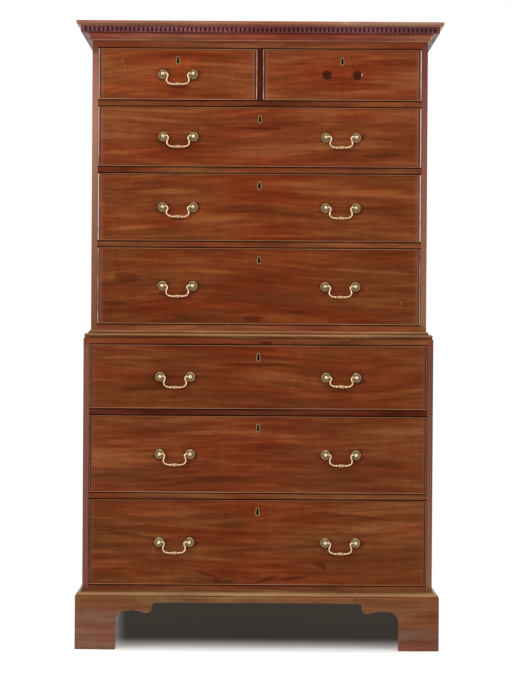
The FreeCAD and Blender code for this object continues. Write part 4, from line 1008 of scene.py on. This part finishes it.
def bead_frame(low, high):
    """A closed profile carried round a rectangle, mitred at its four corners.

    The profile is (inwards, forwards): straight flanks and a half circle between them.
    """
    bend = np.linspace(0, math.pi, BEAD_STEPS)
    width = 2 * BEAD_NOSE
    inwards = np.concatenate(([0, 0], BEAD_NOSE - BEAD_NOSE * np.cos(bend), [width, width]))
    front = low[1] + BEAD_NOSE
    back = low[1] + BEAD_PROUD + BEAD_DEPTH
    flank = front + BEAD_FLANK
    y = np.concatenate(([back, flank], front - BEAD_NOSE * np.sin(bend), [flank, back]))
    ways = np.array([(-1, -1), (1, -1), (1, 1), (-1, 1)])
    middle = np.array([(low[0] + high[0]) / 2, (low[2] + high[2]) / 2])
    half = np.array([(high[0] - low[0]) / 2, (high[2] - low[2]) / 2])
    corner = middle + ways * half
    points = np.empty((4, len(y), 3))
    points[:, :, 0] = corner[:, None, 0] - ways[:, None, 0] * inwards
    points[:, :, 1] = y
    points[:, :, 2] = corner[:, None, 1] - ways[:, None, 1] * inwards
    return points


def strips_of(frame_points, worn_and_highlit):
    """The frame cut at its mitres: four closed strips, each with a flat end in either mitre.

    Gives points, faces and each point's tone: pale for wear and painted highlight, dark for wax and painted
    shade.
    """
    columns = frame_points.shape[1]
    points = np.concatenate([frame_points[[side, (side + 1) % 4]].reshape(-1, 3) for side in range(4)])
    faces = [face for side in range(4) for face in tube_faces(2, columns, side * 2 * columns)]
    bend = np.linspace(0, math.pi, BEAD_STEPS)
    tones = []
    for share in worn_and_highlit:
        # the paler the bead, the wider its pale nose, worn and painted as a highlight, and both
        # flanks are dark with wax and painted shade of the gaps
        worn = 0.4 + 0.55 * share
        wax = np.clip((np.abs(np.cos(bend)) - worn) / 0.3, 0, 1)
        tone = np.concatenate(([FLANK_WAX_AND_SHADE] * 2, share * (1 - wax) + FLANK_WAX_AND_SHADE * wax, [FLANK_WAX_AND_SHADE] * 2))
        tones += [tone, tone]
    return points, faces, np.concatenate(tones)


bead_mahogany = mahogany(
    "worn_and_highlit_mahogany_cock_beads",
    BEAD_BROWNS,
    seed=6.1,
    streak=0.5,
    gleam=0.0,
    gloss=0.5,
    sheen=0.06,
    worn_and_highlit=BEAD_WEAR_AND_HIGHLIGHT,
)
for drawer in FRONTS:
    low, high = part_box(f"{drawer}_front")
    points, faces, tone = strips_of(bead_frame(low, high), BEAD_WEAR_AND_HIGHLIGHT_SHARES[drawer])
    strips = closed_mesh(f"{drawer}_cock_beads", points, faces)
    lay_grain(strips, points, np.repeat(np.arange(4), len(points) // 4), "X")
    store(strips, "tone", tone)
    piece(f"{drawer}_cock_beads", strips, bead_mahogany, drawer)

# ---------------------------------------------------------------- drawer boxes
# Oak sides, back and bottom behind each front, the sides dovetailed into it, the bottom slid
# into grooves, with a worn runner strip glued under each side.
for drawer in FRONTS:
    node = f"{drawer}_box"
    solids = solids_of(node)
    boards_from(f"{drawer}_oak_box", solids, oak_linings, drawer, "oak_linings", "Y", [node], ARRIS_SAWN)

# ---------------------------------------------------------------- mouldings
# Cornice, waist and base mouldings are run in mahogany with moulding planes, mitred at the
# two front corners and glued and pinned on. Along their sections they are painted pale, as wear
# and as painted highlight, and dark in their hollows, as wax and as painted shade.
MOULDING_BROWNS = ("#53371F", "#7D5333", "#A6804F")
CROWN_BROWNS = ("#6D452E", "#936852", "#B38C70")
BED_BROWNS = ("#612F22", "#8E4E3A", "#B5755C")
BASE_BROWNS = ("#52331B", "#795130", "#9C774A")
# pale wood where the mouldings are worn, also standing for painted highlights
MOULDING_WEAR_AND_HIGHLIGHT = ("#C0A078", "#C8A480")
BASE_WEAR_AND_HIGHLIGHT = ("#B6926A", "#BE986C")
# a section's corner that turns by more than 25 degrees is cut back by half a millimetre
SHARP_CORNER = 25
FILLET = 0.5
ARC_STEPS = 9
RUN_STEPS = 24


def swept(start, end, bow, turn):
    """Points along the arc from start to end, without its start.

    bow is the radius in chords, turn +1 where the arc bends left and -1 where it bends right.
    """
    start, end = np.asarray(start, dtype=float), np.asarray(end, dtype=float)
    chord = np.linalg.norm(end - start)
    radius = bow * chord
    rise = math.sqrt(max(radius**2 - chord**2 / 4, 0))
    along = (end - start) / chord
    centre = (start + end) / 2 + turn * rise * np.array([-along[1], along[0]])
    first = math.atan2(*(start - centre)[::-1])
    last = math.atan2(*(end - centre)[::-1])
    sweep = (last - first) % (2 * math.pi) if turn > 0 else -((first - last) % (2 * math.pi))
    bend = first + sweep * np.linspace(0, 1, ARC_STEPS + 1)[1:]
    return centre + radius * np.stack((np.cos(bend), np.sin(bend)), axis=1)


def moulded_outline(steps):
    """The (out, up) steps of a moulding's section as points, its sharp corners softened.

    A step is (out, up) for a straight reach or (out, up, bow, turn) for an arc. A sharp
    corner is cut back and rounded with a curve of four points.
    """
    outline = [np.array([steps[0][:2]], dtype=float)]
    for before, step in zip(steps, steps[1:]):
        end, arc = step[:2], step[2:]
        outline.append(swept(before[:2], end, *arc) if arc else np.array([end]))
    points = np.concatenate(outline)
    soft = []
    for before, here, after in zip(np.roll(points, 1, axis=0), points, np.roll(points, -1, axis=0)):
        back, on = before - here, after - here
        reach_back, reach_on = np.linalg.norm(back), np.linalg.norm(on)
        turned = math.degrees(math.acos(np.clip(-back @ on / (reach_back * reach_on), -1, 1)))
        if turned < SHARP_CORNER or here[0] <= 0:
            soft.append(here[None])
            continue
        cut = min(FILLET, reach_back * 0.4, reach_on * 0.4)
        leave, enter = here + back / reach_back * cut, here + on / reach_on * cut
        share = np.linspace(0, 1, 4)[:, None]
        soft.append((1 - share) ** 2 * leave + 2 * share * (1 - share) * here + share**2 * enter)
    return np.concatenate(soft)


def lengths_along(line):
    """How far along its line each point lies from the first."""
    return np.concatenate(([0], np.cumsum(np.linalg.norm(np.diff(line, axis=0), axis=1))))


def moulding_run(name, steps, tones, case, foot, material, node):
    """A section carried along the left return, the front and the right return.

    Each outline point goes round the case as a U, pushed out by its own distance, so the
    corners mitre by themselves. The ends at the back are closed flat. tones gives, at
    heights up the section, how pale it is painted, as wear and highlight, or how dark, as wax
    and painted shade. case is half its width and where its front lies.
    """
    outline = moulded_outline(steps)
    half_width, front = case
    out, up = outline[:, 0] * MM, outline[:, 1] * MM
    left = np.stack((-half_width - out, np.full(len(out), BACK)), axis=1)
    corner_left = np.stack((-half_width - out, front - out), axis=1)
    corner_right, right = corner_left * (-1, 1), left * (-1, 1)
    share = np.linspace(0, 1, RUN_STEPS + 1)[:, None, None]
    legs = ((left, corner_left), (corner_left, corner_right), (corner_right, right))
    legs = [start * (1 - share) + end * share for start, end in legs]
    plan = np.concatenate((legs[0], legs[1][1:], legs[2][1:]))
    points = np.concatenate((plan, np.broadcast_to(foot + up, plan.shape[:2])[..., None]), axis=2)
    rows, columns = points.shape[:2]
    mesh = closed_mesh(name, points.reshape(-1, 3).tolist(), tube_faces(rows, columns))
    laid = np.zeros((rows, columns, 3))
    laid[..., 0] = lengths_along(plan[:, 0])[:, None] + grain_dice.uniform(-4, 4)
    laid[..., 1] = lengths_along(outline) * MM
    store(mesh, "grain", laid)
    store(mesh, "tone", np.tile(np.interp(outline[:, 1], *zip(*tones)), rows))
    piece(name, mesh, material, "carcass", [node])


waist_mahogany = mahogany(
    "moulded_mahogany_waist", MOULDING_BROWNS, seed=15.0, gloss=0.3, worn_and_highlit=MOULDING_WEAR_AND_HIGHLIGHT
)
# a chip has broken out of the crown's top edge
crown_chip = [(250, 1847, 10, 2, 0, 0.9)]
crown_mahogany = mahogany(
    "moulded_mahogany_crown",
    CROWN_BROWNS,
    seed=16.0,
    gloss=0.34,
    light_marks=crown_chip,
    worn_and_highlit=MOULDING_WEAR_AND_HIGHLIGHT,
)
bed_mahogany = mahogany("moulded_mahogany_bed", BED_BROWNS, seed=17.0, worn_and_highlit=MOULDING_WEAR_AND_HIGHLIGHT)
base_mahogany = mahogany("moulded_mahogany_base", BASE_BROWNS, seed=18.0, worn_and_highlit=BASE_WEAR_AND_HIGHLIGHT)

upper_low, upper_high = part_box("upper_side_right")
lower_low, lower_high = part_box("lower_side_right")
UPPER_CASE, LOWER_CASE = (upper_high[0], upper_low[1]), (lower_high[0], lower_low[1])
BACK, LOWER_FOOT = upper_high[1], lower_low[2]
CROWN_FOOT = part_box("cornice_crown_moulding")[0][2]
BED_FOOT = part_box("cornice_bed_moulding")[0][2]

# crown: a cove under a plain fascia with a softened lip
CROWN = ((0, 0), (35, 0), (44, 4.5, 0.994, -1), (44, 12), (43, 13, 0.7072, 1), (0, 13))
# the crown's tone up its section: pale on the cove and the lip, as wear and painted highlight, darker on the
# fascia
CROWN_LIGHT_AND_WEAR = ((0, -0.2), (2, 0.15), (5, 0.12), (7, -0.12), (11, -0.15), (13, 0.12))
# bed moulding under the dentils: a small bead and two hollows
BED = (
    (0, 0),
    (5.52, 0),
    (5.52, 4.6, 0.5001, 1),
    (10.64, 15.84, 1.943, -1),
    (19, 22, 1.348, -1),
    (0, 22),
)
# the bed moulding's tone: a painted highlight on its small bead, and painted shade at its top under the
# dentils
BED_LIGHT_AND_WEAR = (
    (0, -0.1),
    (1.6, 0.35),
    (3.6, 0.2),
    (4.8, -0.1),
    (8, -0.14),
    (11, -0.1),
    (16, 0.08),
    (20, -0.3),
    (22, -0.6),
)
# waist: a square foot, an ovolo, a hollow and a swelling that dies into the upper case
WAIST = (
    (0, 0),
    (16.8, 0),
    (16.8, 3.96),
    (13.5, 12.76, 0.553, 1),
    (5.4, 17.16, 0.976, -1),
    (2, 22, 0.676, 1),
    (0, 22),
)
# the waist's tone: painted highlights on the ovolo and the swelling, painted shade on the foot and in the
# hollow
WAIST_LIGHT_AND_WEAR = (
    (0, -0.5),
    (4, -0.5),
    (5.5, -0.1),
    (7.5, 0.15),
    (9.5, 0.4),
    (12, 0.3),
    (14, -0.3),
    (16, -0.5),
    (17.5, 0),
    (19, 0.28),
    (22, 0.28),
)
# base: an ovolo and a cove above the plain plinth strip
BASE = (
    (0, 0),
    (18.4, 0),
    (18.4, 2.46),
    (11.6, 11.275, 0.862, 1),
    (2, 19, 0.933, -1),
    (2, 20.5),
    (0, 20.5),
)
# the base's tone: a painted highlight on the ovolo, and painted shade in the quirk at its foot and in the
# cove
BASE_LIGHT_AND_WEAR = (
    (0, -0.6),
    (2, -0.6),
    (3.5, 0.3),
    (6, 0.6),
    (8, 0.35),
    (11, 0.65),
    (12.5, 0.1),
    (14, -0.45),
    (17, -0.45),
    (20.5, -0.3),
)
for name, node, steps, tones, case, foot, material in (
    ("cornice_crown", "cornice_crown_moulding", CROWN, CROWN_LIGHT_AND_WEAR, UPPER_CASE, CROWN_FOOT, crown_mahogany),
    ("cornice_bed", "cornice_bed_moulding", BED, BED_LIGHT_AND_WEAR, UPPER_CASE, BED_FOOT, bed_mahogany),
    ("waist_ovolo", "waist_moulding", WAIST, WAIST_LIGHT_AND_WEAR, UPPER_CASE, upper_low[2], waist_mahogany),
    ("base_ovolo", "base_moulding_and_plinth", BASE, BASE_LIGHT_AND_WEAR, LOWER_CASE, LOWER_FOOT, base_mahogany),
):
    moulding_run(name, steps, tones, case, foot, material, node)

# The dentil course is a mahogany strip with a small upright slot cut every 13 mm, and the
# slots are full of old dust and wax.
DENTIL_BROWNS = ("#4C2827", "#71464B", "#946463")
ARRIS_FRETTED = 0.3 * MM
dentil_mahogany = mahogany("fretted_mahogany_dentils", DENTIL_BROWNS, seed=19.0, gleam=0.0, gloss=0.4)
boards_from(
    "cornice_dentils",
    solids_of("cornice_dentil_course"),
    dentil_mahogany,
    "carcass",
    "mahogany_mouldings",
    "X",
    ["cornice_dentil_course"],
    ARRIS_FRETTED,
)

# ---------------------------------------------------------------- plinth strip and bracket feet
# Ogee-ended brackets sawn from thick mahogany, mitred at the front corners over pine glue
# blocks, with a strip of the same section between them. Brooms and mops have faded them, and
# a pale line along their top edge is a painted highlight.
FOOT_BROWNS = ("#5B3E33", "#80604F", "#9F8268")
BLOCK_BROWNS = ("#5A4129", "#86663F", "#A5865A")
ARRIS_SCRUBBED = 0.8 * MM
ARRIS_SPLIT = 1.0 * MM
# glue blocks are lower than this, or shorter than this both ways across the floor
BLOCK_LOW, BLOCK_SHORT = 30 * MM, 60 * MM
SCRUBBED_AND_HIGHLIT = dict(
    cloud=0.3,
    streak=0.5,
    gleam=0.1,
    # a painted highlight along the top edge of the strip and the brackets
    light_marks=[(0, LOWER_FOOT / MM, 600, 2.6, 0, 0.35)],
    gloss=0.42,
    sheen=0.2,
    warmed=((0.06, 0, 1), 0.07, 0.112, "#FFFBD0"),
)
foot_mahogany = mahogany("sawn_mahogany_bracket_feet", FOOT_BROWNS, seed=20.5, **SCRUBBED_AND_HIGHLIT)
plinth_mahogany = mahogany("planed_mahogany_plinth_strip", FOOT_BROWNS, seed=21.5, **SCRUBBED_AND_HIGHLIT)
block_pine = bare_wood("glued_pine_blocks", BLOCK_BROWNS, 4.4, 8.0, dirt=0.7)

base_solids = solids_of("base_moulding_and_plinth")
plinth = [solid for solid in base_solids if solid[0][:, 2].max() < LOWER_FOOT + 0.1 * MM]
for (part, axis), solid in zip((("front", "X"), ("left", "Y"), ("right", "Y")), plinth):
    boards_from(f"plinth_strip_{part}", [solid], plinth_mahogany, "carcass", "mahogany_feet", axis)
for node, shown in (("front_bracket_feet", "front"), ("rear_bracket_feet", "rear")):
    brackets, blocks = {"X": [], "Y": []}, []
    for points, triangles in solids_of(node):
        size = np.ptp(points, axis=0)
        if size[2] < BLOCK_LOW or size[:2].max() < BLOCK_SHORT:
            blocks.append((points, triangles))
        else:
            brackets["X" if size[0] > size[1] else "Y"].append((points, triangles))
    for axis, solids in brackets.items():
        facing, stands_for = ("front", [node]) if axis == "X" else ("side", ())
        name = f"{shown}_brackets_facing_{facing}"
        look = (foot_mahogany, "carcass", "mahogany_feet", axis, stands_for, ARRIS_SCRUBBED)
        boards_from(name, solids, *look)
    boards_from(f"{shown}_glue_blocks", blocks, block_pine, "carcass", "pine_carcass", "Z", (), ARRIS_SPLIT)

# ---------------------------------------------------------------- brassware
# Cast brass, turned and filed, once lacquered and now gone mellow: bright where fingers
# touch it, brown in the hollows. Round roses sit on the front under ball-headed posts,
# whose shanks pass through to square nuts inside.
BRASS_TONES = ("#403420", "#947E58", "#E2D0AA")
# the darkest lock tone is painted shade, where the lock's face is seen through the keyhole
LOCK_TONES_AND_SHADE = ("#0F0B06", "#7D6840", "#A8905C")
NUT_TONES = ("#3A2E1A", "#7D6840", "#A8905C")
ESCUTCHEON_TONES = ("#1C1208", "#7A6644", "#A8946A")
ROSE_SIDES, POST_SIDES = 48, 32
# in millimetres: width and height of the escutcheon and of the hole in it, its depth and
# its soft rim
ESCUTCHEON_SIZE, KEYHOLE_SIZE = (12.4, 25.0), (5.6, 17.5)
INLAY_DEPTH, SOFT_RIM = 3.0, 0.2
KEYHOLE_HEAD = 0.36
ARRIS_LOCK, ARRIS_NUT = 0.4 * MM, 0.5 * MM
# how dark each of the escutcheon's rings is, from outside to inside: tarnish on the rim, and
# painted shade on the keyhole's walls
RIM_TARNISH_AND_SHADE = (0.0, 0.0, -0.1, 0.5, 1.3, 1.5)
ROSE_SECTION = [
    (2.6, 0.0),
    (13.7, 0.0),
    (13.7, -0.8),
    (13.35, -1.55),
    (12.6, -2.0),
    (11.8, -1.75),
    (11.2, -1.15),
    (10.6, -1.0),
    (9.2, -1.3),
    (7.98, -1.35),
    (7.5, -1.15),
    (7.1, -1.6),
    (6.2, -2.3),
    (5.0, -2.75),
    (4.1, -2.9),
    (2.6, -2.9),
]
# how deep a rose's hollows are at millimetres from its middle
ROSE_HOLLOWS = (
    (2.6, 0.6),
    (4.1, 0.3),
    (7.1, 0.15),
    (7.6, 0.7),
    (9.2, 0.3),
    (10.6, 0.2),
    (11.2, 0.05),
    (12.4, -0.15),
    (13.7, 0.15),
)


def aged_brass(name, tones, roughness=0.3, tarnish=0.5, spot_size=2.2):
    """Mellow brass, tarnished in soft patches that are the wider the larger spot_size is.

    The mesh stores how deep each point lies in a hollow: 0 on the heights, 1 at the bottom, and more where
    shade is painted inside a keyhole.
    """
    material, tree = fresh_material(name)
    place = add(tree, "TexCoord").outputs["Object"]
    patches = add(tree, "TexNoise", place, Scale=250 / spot_size, Detail=4.0, Roughness=0.6)
    hollow = add(tree, "Attribute", attribute_name="hollow", attribute_type="GEOMETRY")
    worked = add(tree, "Math", patches, tarnish, hollow.outputs["Fac"], operation="MULTIPLY_ADD")
    stops = list(zip((0.1, 0.42, 0.95), reversed(tones)))
    brass = add(
        tree,
        "BsdfPrincipled",
        Base_Color=add(tree, "ValToRGB", worked, stops=stops),
        Roughness=add(tree, "MapRange", worked, 0.15, 0.9, roughness, roughness + 0.3),
        Normal=add(tree, "Bump", Height=patches, Strength=0.25, Distance=0.15 * MM),
        Metallic=1.0,
    )
    add(tree, "OutputMaterial", brass)
    return material


def turned(section, centres, segments):
    """A section of (radius, along Y) points turned about Y at every centre, as (points, faces).

    The section starts and ends on the axis, or closes on itself; each pole is one point.
    """
    section = np.asarray(section, dtype=float)
    poles = [at for at in (0, -1) if section[at, 0] == 0]
    ring = section[(1 if 0 in poles else 0) : (-1 if -1 in poles else None)] * MM
    turn = np.arange(segments) * 2 * math.pi / segments
    shape = np.empty((len(ring), segments, 3))
    shape[..., 0] = ring[:, None, 0] * np.cos(turn)
    shape[..., 1] = ring[:, None, 1]
    shape[..., 2] = ring[:, None, 0] * np.sin(turn)
    points = shape.reshape(-1, 3)
    faces = grid_faces(len(ring), segments, wrap_rows=not poles).tolist()
    for at, row in ((0, 0), (-1, len(ring) - 1)):
        if at in poles:
            points = np.concatenate((points, [[0, section[at, 1] * MM, 0]]))
            around = row * segments + np.arange(segments)
            after = np.roll(around, -1)
            tip = np.full(segments, len(points) - 1)
            fan = np.stack((tip, after, around) if at == 0 else (tip, around, after), axis=1)
            faces += fan.tolist()
    everywhere = (np.asarray(centres)[:, None, :] + points[None]).reshape(-1, 3)
    firsts = range(0, len(everywhere), len(points))
    return everywhere, [[corner + first for corner in face] for first in firsts for face in faces]


def keyhole_line(width, height):
    """A keyhole's outline: a narrow round head, flaring sides and a wide round foot, as (x, z)."""
    head, foot = width * KEYHOLE_HEAD, width / 2
    turn = np.linspace(0, math.pi, 24)
    over = np.stack((head * np.cos(turn), height / 2 - head + head * np.sin(turn)), axis=1)
    under = np.stack((-foot * np.cos(turn), -height / 2 + foot - foot * np.sin(turn)), axis=1)
    return np.concatenate((over, under))


def keyhole_ring(centre):
    """A closed band between two keyhole outlines, its front arrises softened.

    centre is the middle of the band on the face of the front.
    """
    outer, inner = keyhole_line(*ESCUTCHEON_SIZE), keyhole_line(*KEYHOLE_SIZE)
    soft = (outer - inner) / np.linalg.norm(outer - inner, axis=1)[:, None] * SOFT_RIM
    outside = ((outer, INLAY_DEPTH), (outer, SOFT_RIM), (outer - soft, 0.0))
    inside = ((inner + soft, 0.0), (inner, SOFT_RIM), (inner, INLAY_DEPTH))
    rings = outside + inside
    points = np.stack([np.insert(line, 1, depth, axis=1) for line, depth in rings]) * MM + centre
    return points.reshape(-1, 3), grid_faces(len(rings), len(outer)).tolist()


# the post: a ball on a short neck and collar, and the shank behind it
BALL = 7.0
bend = np.linspace(-math.pi / 2, math.radians(58), 15)
POST_SECTION = (
    [(0.0, -20.0)]
    + [(BALL * math.cos(at), -13 + BALL * math.sin(at)) for at in bend[1:]]
    + [(3.1, -6.1), (2.75, -5.2), (2.9, -4.4), (3.7, -3.9), (4.1, -3.5), (4.1, -3.0)]
    + [(2.5, -2.9), (2.5, 26.6), (2.0, 27.0), (0.0, 27.0)]
)
rose_brass = aged_brass("cast_brass_roses", BRASS_TONES, roughness=0.24)
lock_brass = aged_brass("filed_brass_locks", LOCK_TONES_AND_SHADE, roughness=0.45, spot_size=6.0)
nut_brass = aged_brass("filed_brass_nuts", NUT_TONES, roughness=0.45, spot_size=6.0)
escutcheon_brass = aged_brass("inlaid_brass_escutcheons", ESCUTCHEON_TONES, roughness=0.55)

for drawer, places in HANDLES.items():
    low, high, middle_x, eye = front_of(drawer)
    # the solids are an escutcheon and a lock, then a rose, a post and a nut for each bolt
    fittings = solids_of(f"{drawer}_brassware")
    key_low, key_high = fittings[0][0].min(axis=0), fittings[0][0].max(axis=0)
    points, faces = keyhole_ring(((key_low[0] + key_high[0]) / 2, key_low[1], (key_low[2] + key_high[2]) / 2))
    escutcheon = closed_mesh(f"{drawer}_escutcheon", points, faces)
    store(escutcheon, "hollow", np.repeat(RIM_TARNISH_AND_SHADE, len(points) // len(RIM_TARNISH_AND_SHADE)))
    piece(f"{drawer}_escutcheon", escutcheon, escutcheon_brass, drawer, [f"{drawer}_brassware"])
    lock = boards_from(f"{drawer}_lock", fittings[1:2], lock_brass, drawer, "old_brass", "X", (), ARRIS_LOCK)
    # the lock's face, seen through the keyhole, is painted near black: painted shade inside the keyhole
    forward = np.array([point.co.y for point in lock.data.vertices])
    store(lock.data, "hollow", np.where(forward < forward.min() + 1 * MM, 1.5, 0.0))
    if not places:
        continue
    face_y = low[1] + BEAD_PROUD
    middles = [middle_x + place * MM for place in places]
    centres = [(x + side * POST_HALF_SPACING, face_y, eye) for x in middles for side in (-1, 1)]
    roses = closed_mesh(f"{drawer}_roses", *turned(ROSE_SECTION, centres, ROSE_SIDES))
    depth = np.interp(np.array(ROSE_SECTION)[:, 0], *zip(*ROSE_HOLLOWS))
    store(roses, "hollow", np.tile(np.repeat(depth, ROSE_SIDES), len(centres)))
    piece(f"{drawer}_roses", roses, rose_brass, drawer)
    posts = closed_mesh(f"{drawer}_posts", *turned(POST_SECTION, centres, POST_SIDES))
    # bright on the ball, darker on neck and shank
    ring_depth = [0.0 if y < -8 else 0.5 for _, y in POST_SECTION[1:-1]]
    one_post = np.concatenate((np.repeat(ring_depth, POST_SIDES), [0.0, 0.5]))
    store(posts, "hollow", np.tile(one_post, len(centres)))
    piece(f"{drawer}_posts", posts, rose_brass, drawer)
    boards_from(f"{drawer}_nuts", fittings[4::3], nut_brass, drawer, "old_brass", "X", (), ARRIS_NUT)

# ---------------------------------------------------------------- bails
# Swan-necked drop handles, cast and bent: round wire turned inwards from the balls, up over
# a small crook, then out and down into a low bow with a swelling grip between two collars.
# The line is (across, up) from the hinge, in millimetres, and the other half mirrors it.
BAIL_LINE = [
    (48.4, 0.0),
    (43.0, 0.0),
    (38.6, 0.7),
    (34.4, 1.4),
    (31.0, 0.3),
    (29.4, -3.0),
    (29.7, -7.5),
    (31.6, -12.2),
    (33.0, -17.0),
    (32.4, -22.0),
    (28.9, -26.6),
    (23.2, -29.6),
    (16.5, -30.8),
    (9.0, -31.0),
    (0.0, -31.0),
]
WIRE_RADIUS = 2.2
WIRE_SIDES = 24
LINE_POINTS = 181
# the middle, half width and radius of the collars, in millimetres along the wire from the
# middle of the grip, and the grip's radius on the way to them
COLLAR_MIDDLE, COLLAR_HALF, COLLAR_RADIUS = 13.8, 1.6, 3.9
GRIP_HALF = COLLAR_MIDDLE - COLLAR_HALF
GRIP_RADIUS = ((0.0, 5.2), (3.5, 5.05), (6.5, 4.5), (9.0, 3.7), (11.0, 3.1), (12.2, 2.8))
BOW_DEPTH = 31.0
# the hinge lies this far in front of the drawer's face
PIVOT_OUT = 13 * MM
BAIL_TONES = ("#5C4430", "#B08C68", "#E4C8A6")
# bails bent by years of pulling: (degrees askew, share of the drop that is left)
BENT = {
    "second_drawer_bail_right": (0.6, 1.0),
    "third_drawer_bail_left": (-1.2, 0.93),
    "fourth_drawer_bail_left": (0.5, 1.0),
    "fifth_drawer_bail_right": (-1.6, 0.86),
}


def smooth_line(knots, count):
    """A Catmull-Rom curve through the knots, as count points evenly spaced along it."""
    knots = np.asarray(knots, dtype=float)
    padded = np.concatenate(([2 * knots[0] - knots[1]], knots, [2 * knots[-1] - knots[-2]]))
    share = np.linspace(0, 1, 24, endpoint=False)[:, None]
    spans = []
    for before, start, end, after in zip(padded, padded[1:], padded[2:], padded[3:]):
        second = 2 * before - 5 * start + 4 * end - after
        third = 3 * start - before - 3 * end + after
        spans.append(0.5 * (2 * start + (end - before) * share + second * share**2 + third * share**3))
    line = np.concatenate(spans + [knots[-1:]])
    walked = lengths_along(line)
    even = np.linspace(0, walked[-1], count)
    return np.stack([np.interp(even, walked, line[:, axis]) for axis in range(2)], axis=1)


def bail_line(lean, drop):
    """The whole line from ball to ball, as (across, up) points evenly spaced.

    drop shortens the bow and lean tips it sideways, in degrees, where a bail has been bent.
    """
    half = np.array(BAIL_LINE)
    across, up = np.concatenate((half, half[-2::-1] * (-1, 1))).T
    up = np.where(up < 0, up * drop, up)
    tip = math.radians(lean) * np.clip(-up / BOW_DEPTH, 0, 1)
    leaning = (across * np.cos(tip) - up * np.sin(tip), across * np.sin(tip) + up * np.cos(tip))
    return smooth_line(np.stack(leaning, axis=1), LINE_POINTS)


def wire_radius(from_middle):
    """The wire's radius at distances from the middle of its grip: a grip, a collar, plain wire."""
    grip = np.interp(from_middle, *zip(*GRIP_RADIUS))
    radius = np.where(from_middle < GRIP_HALF, grip, WIRE_RADIUS)
    off_collar = (from_middle - COLLAR_MIDDLE) / (COLLAR_HALF * 1.25)
    swell = np.sqrt(np.clip(1 - off_collar**2, 0, 1))
    return np.maximum(radius, WIRE_RADIUS + (COLLAR_RADIUS - WIRE_RADIUS) * swell)


def bail_mesh(name, hinge, lean, drop):
    """A round wire of changing radius carried along the bail's line, its ends closed.

    Each ring stands square to the line in the bail's own plane.
    """
    line = bail_line(lean, drop)
    walked = lengths_along(line)
    from_middle = np.abs(walked - walked[-1] / 2)
    radius = wire_radius(from_middle)[:, None]
    along = np.gradient(line, axis=0)
    along /= np.linalg.norm(along, axis=1)[:, None]
    turn = np.arange(WIRE_SIDES) * 2 * math.pi / WIRE_SIDES
    points = np.empty((len(line), WIRE_SIDES, 3))
    points[..., 0] = line[:, None, 0] - radius * along[:, None, 1] * np.cos(turn)
    points[..., 1] = radius * np.sin(turn)
    points[..., 2] = line[:, None, 1] + radius * along[:, None, 0] * np.cos(turn)
    places = (points.reshape(-1, 3) * MM + hinge).tolist()
    mesh = closed_mesh(name, places, tube_faces(len(line), WIRE_SIDES))
    # tarnish sits beside the collars, on the grip and inside the balls
    off_collar = np.abs(from_middle - COLLAR_MIDDLE) / COLLAR_HALF
    beside_collar = np.exp(-(((off_collar - 1.9) / 0.6) ** 2))
    in_ball = from_middle > 0.88 * walked[-1] / 2
    hollow = 0.4 * beside_collar + 0.22 * (from_middle < GRIP_HALF) + 0.3 * in_ball
    store(mesh, "hollow", np.repeat(np.where(off_collar < 1, -0.2, hollow), WIRE_SIDES))
    return mesh


bail_brass = aged_brass("handled_brass_bails", BAIL_TONES, roughness=0.26, tarnish=0.42)
for drawer, places in HANDLES.items():
    low, high, middle_x, eye = front_of(drawer)
    for place in places:
        side = "" if len(places) == 1 else ("_left" if place < 0 else "_right")
        node = f"{drawer}_bail{side}"
        hinge = np.array((middle_x + place * MM, low[1] + BEAD_PROUD - PIVOT_OUT, eye))
        wire = bail_mesh(node, hinge, *BENT.get(node, (0.0, 1.0)))
        piece(f"{node}_wire", wire, bail_brass, node, [node])
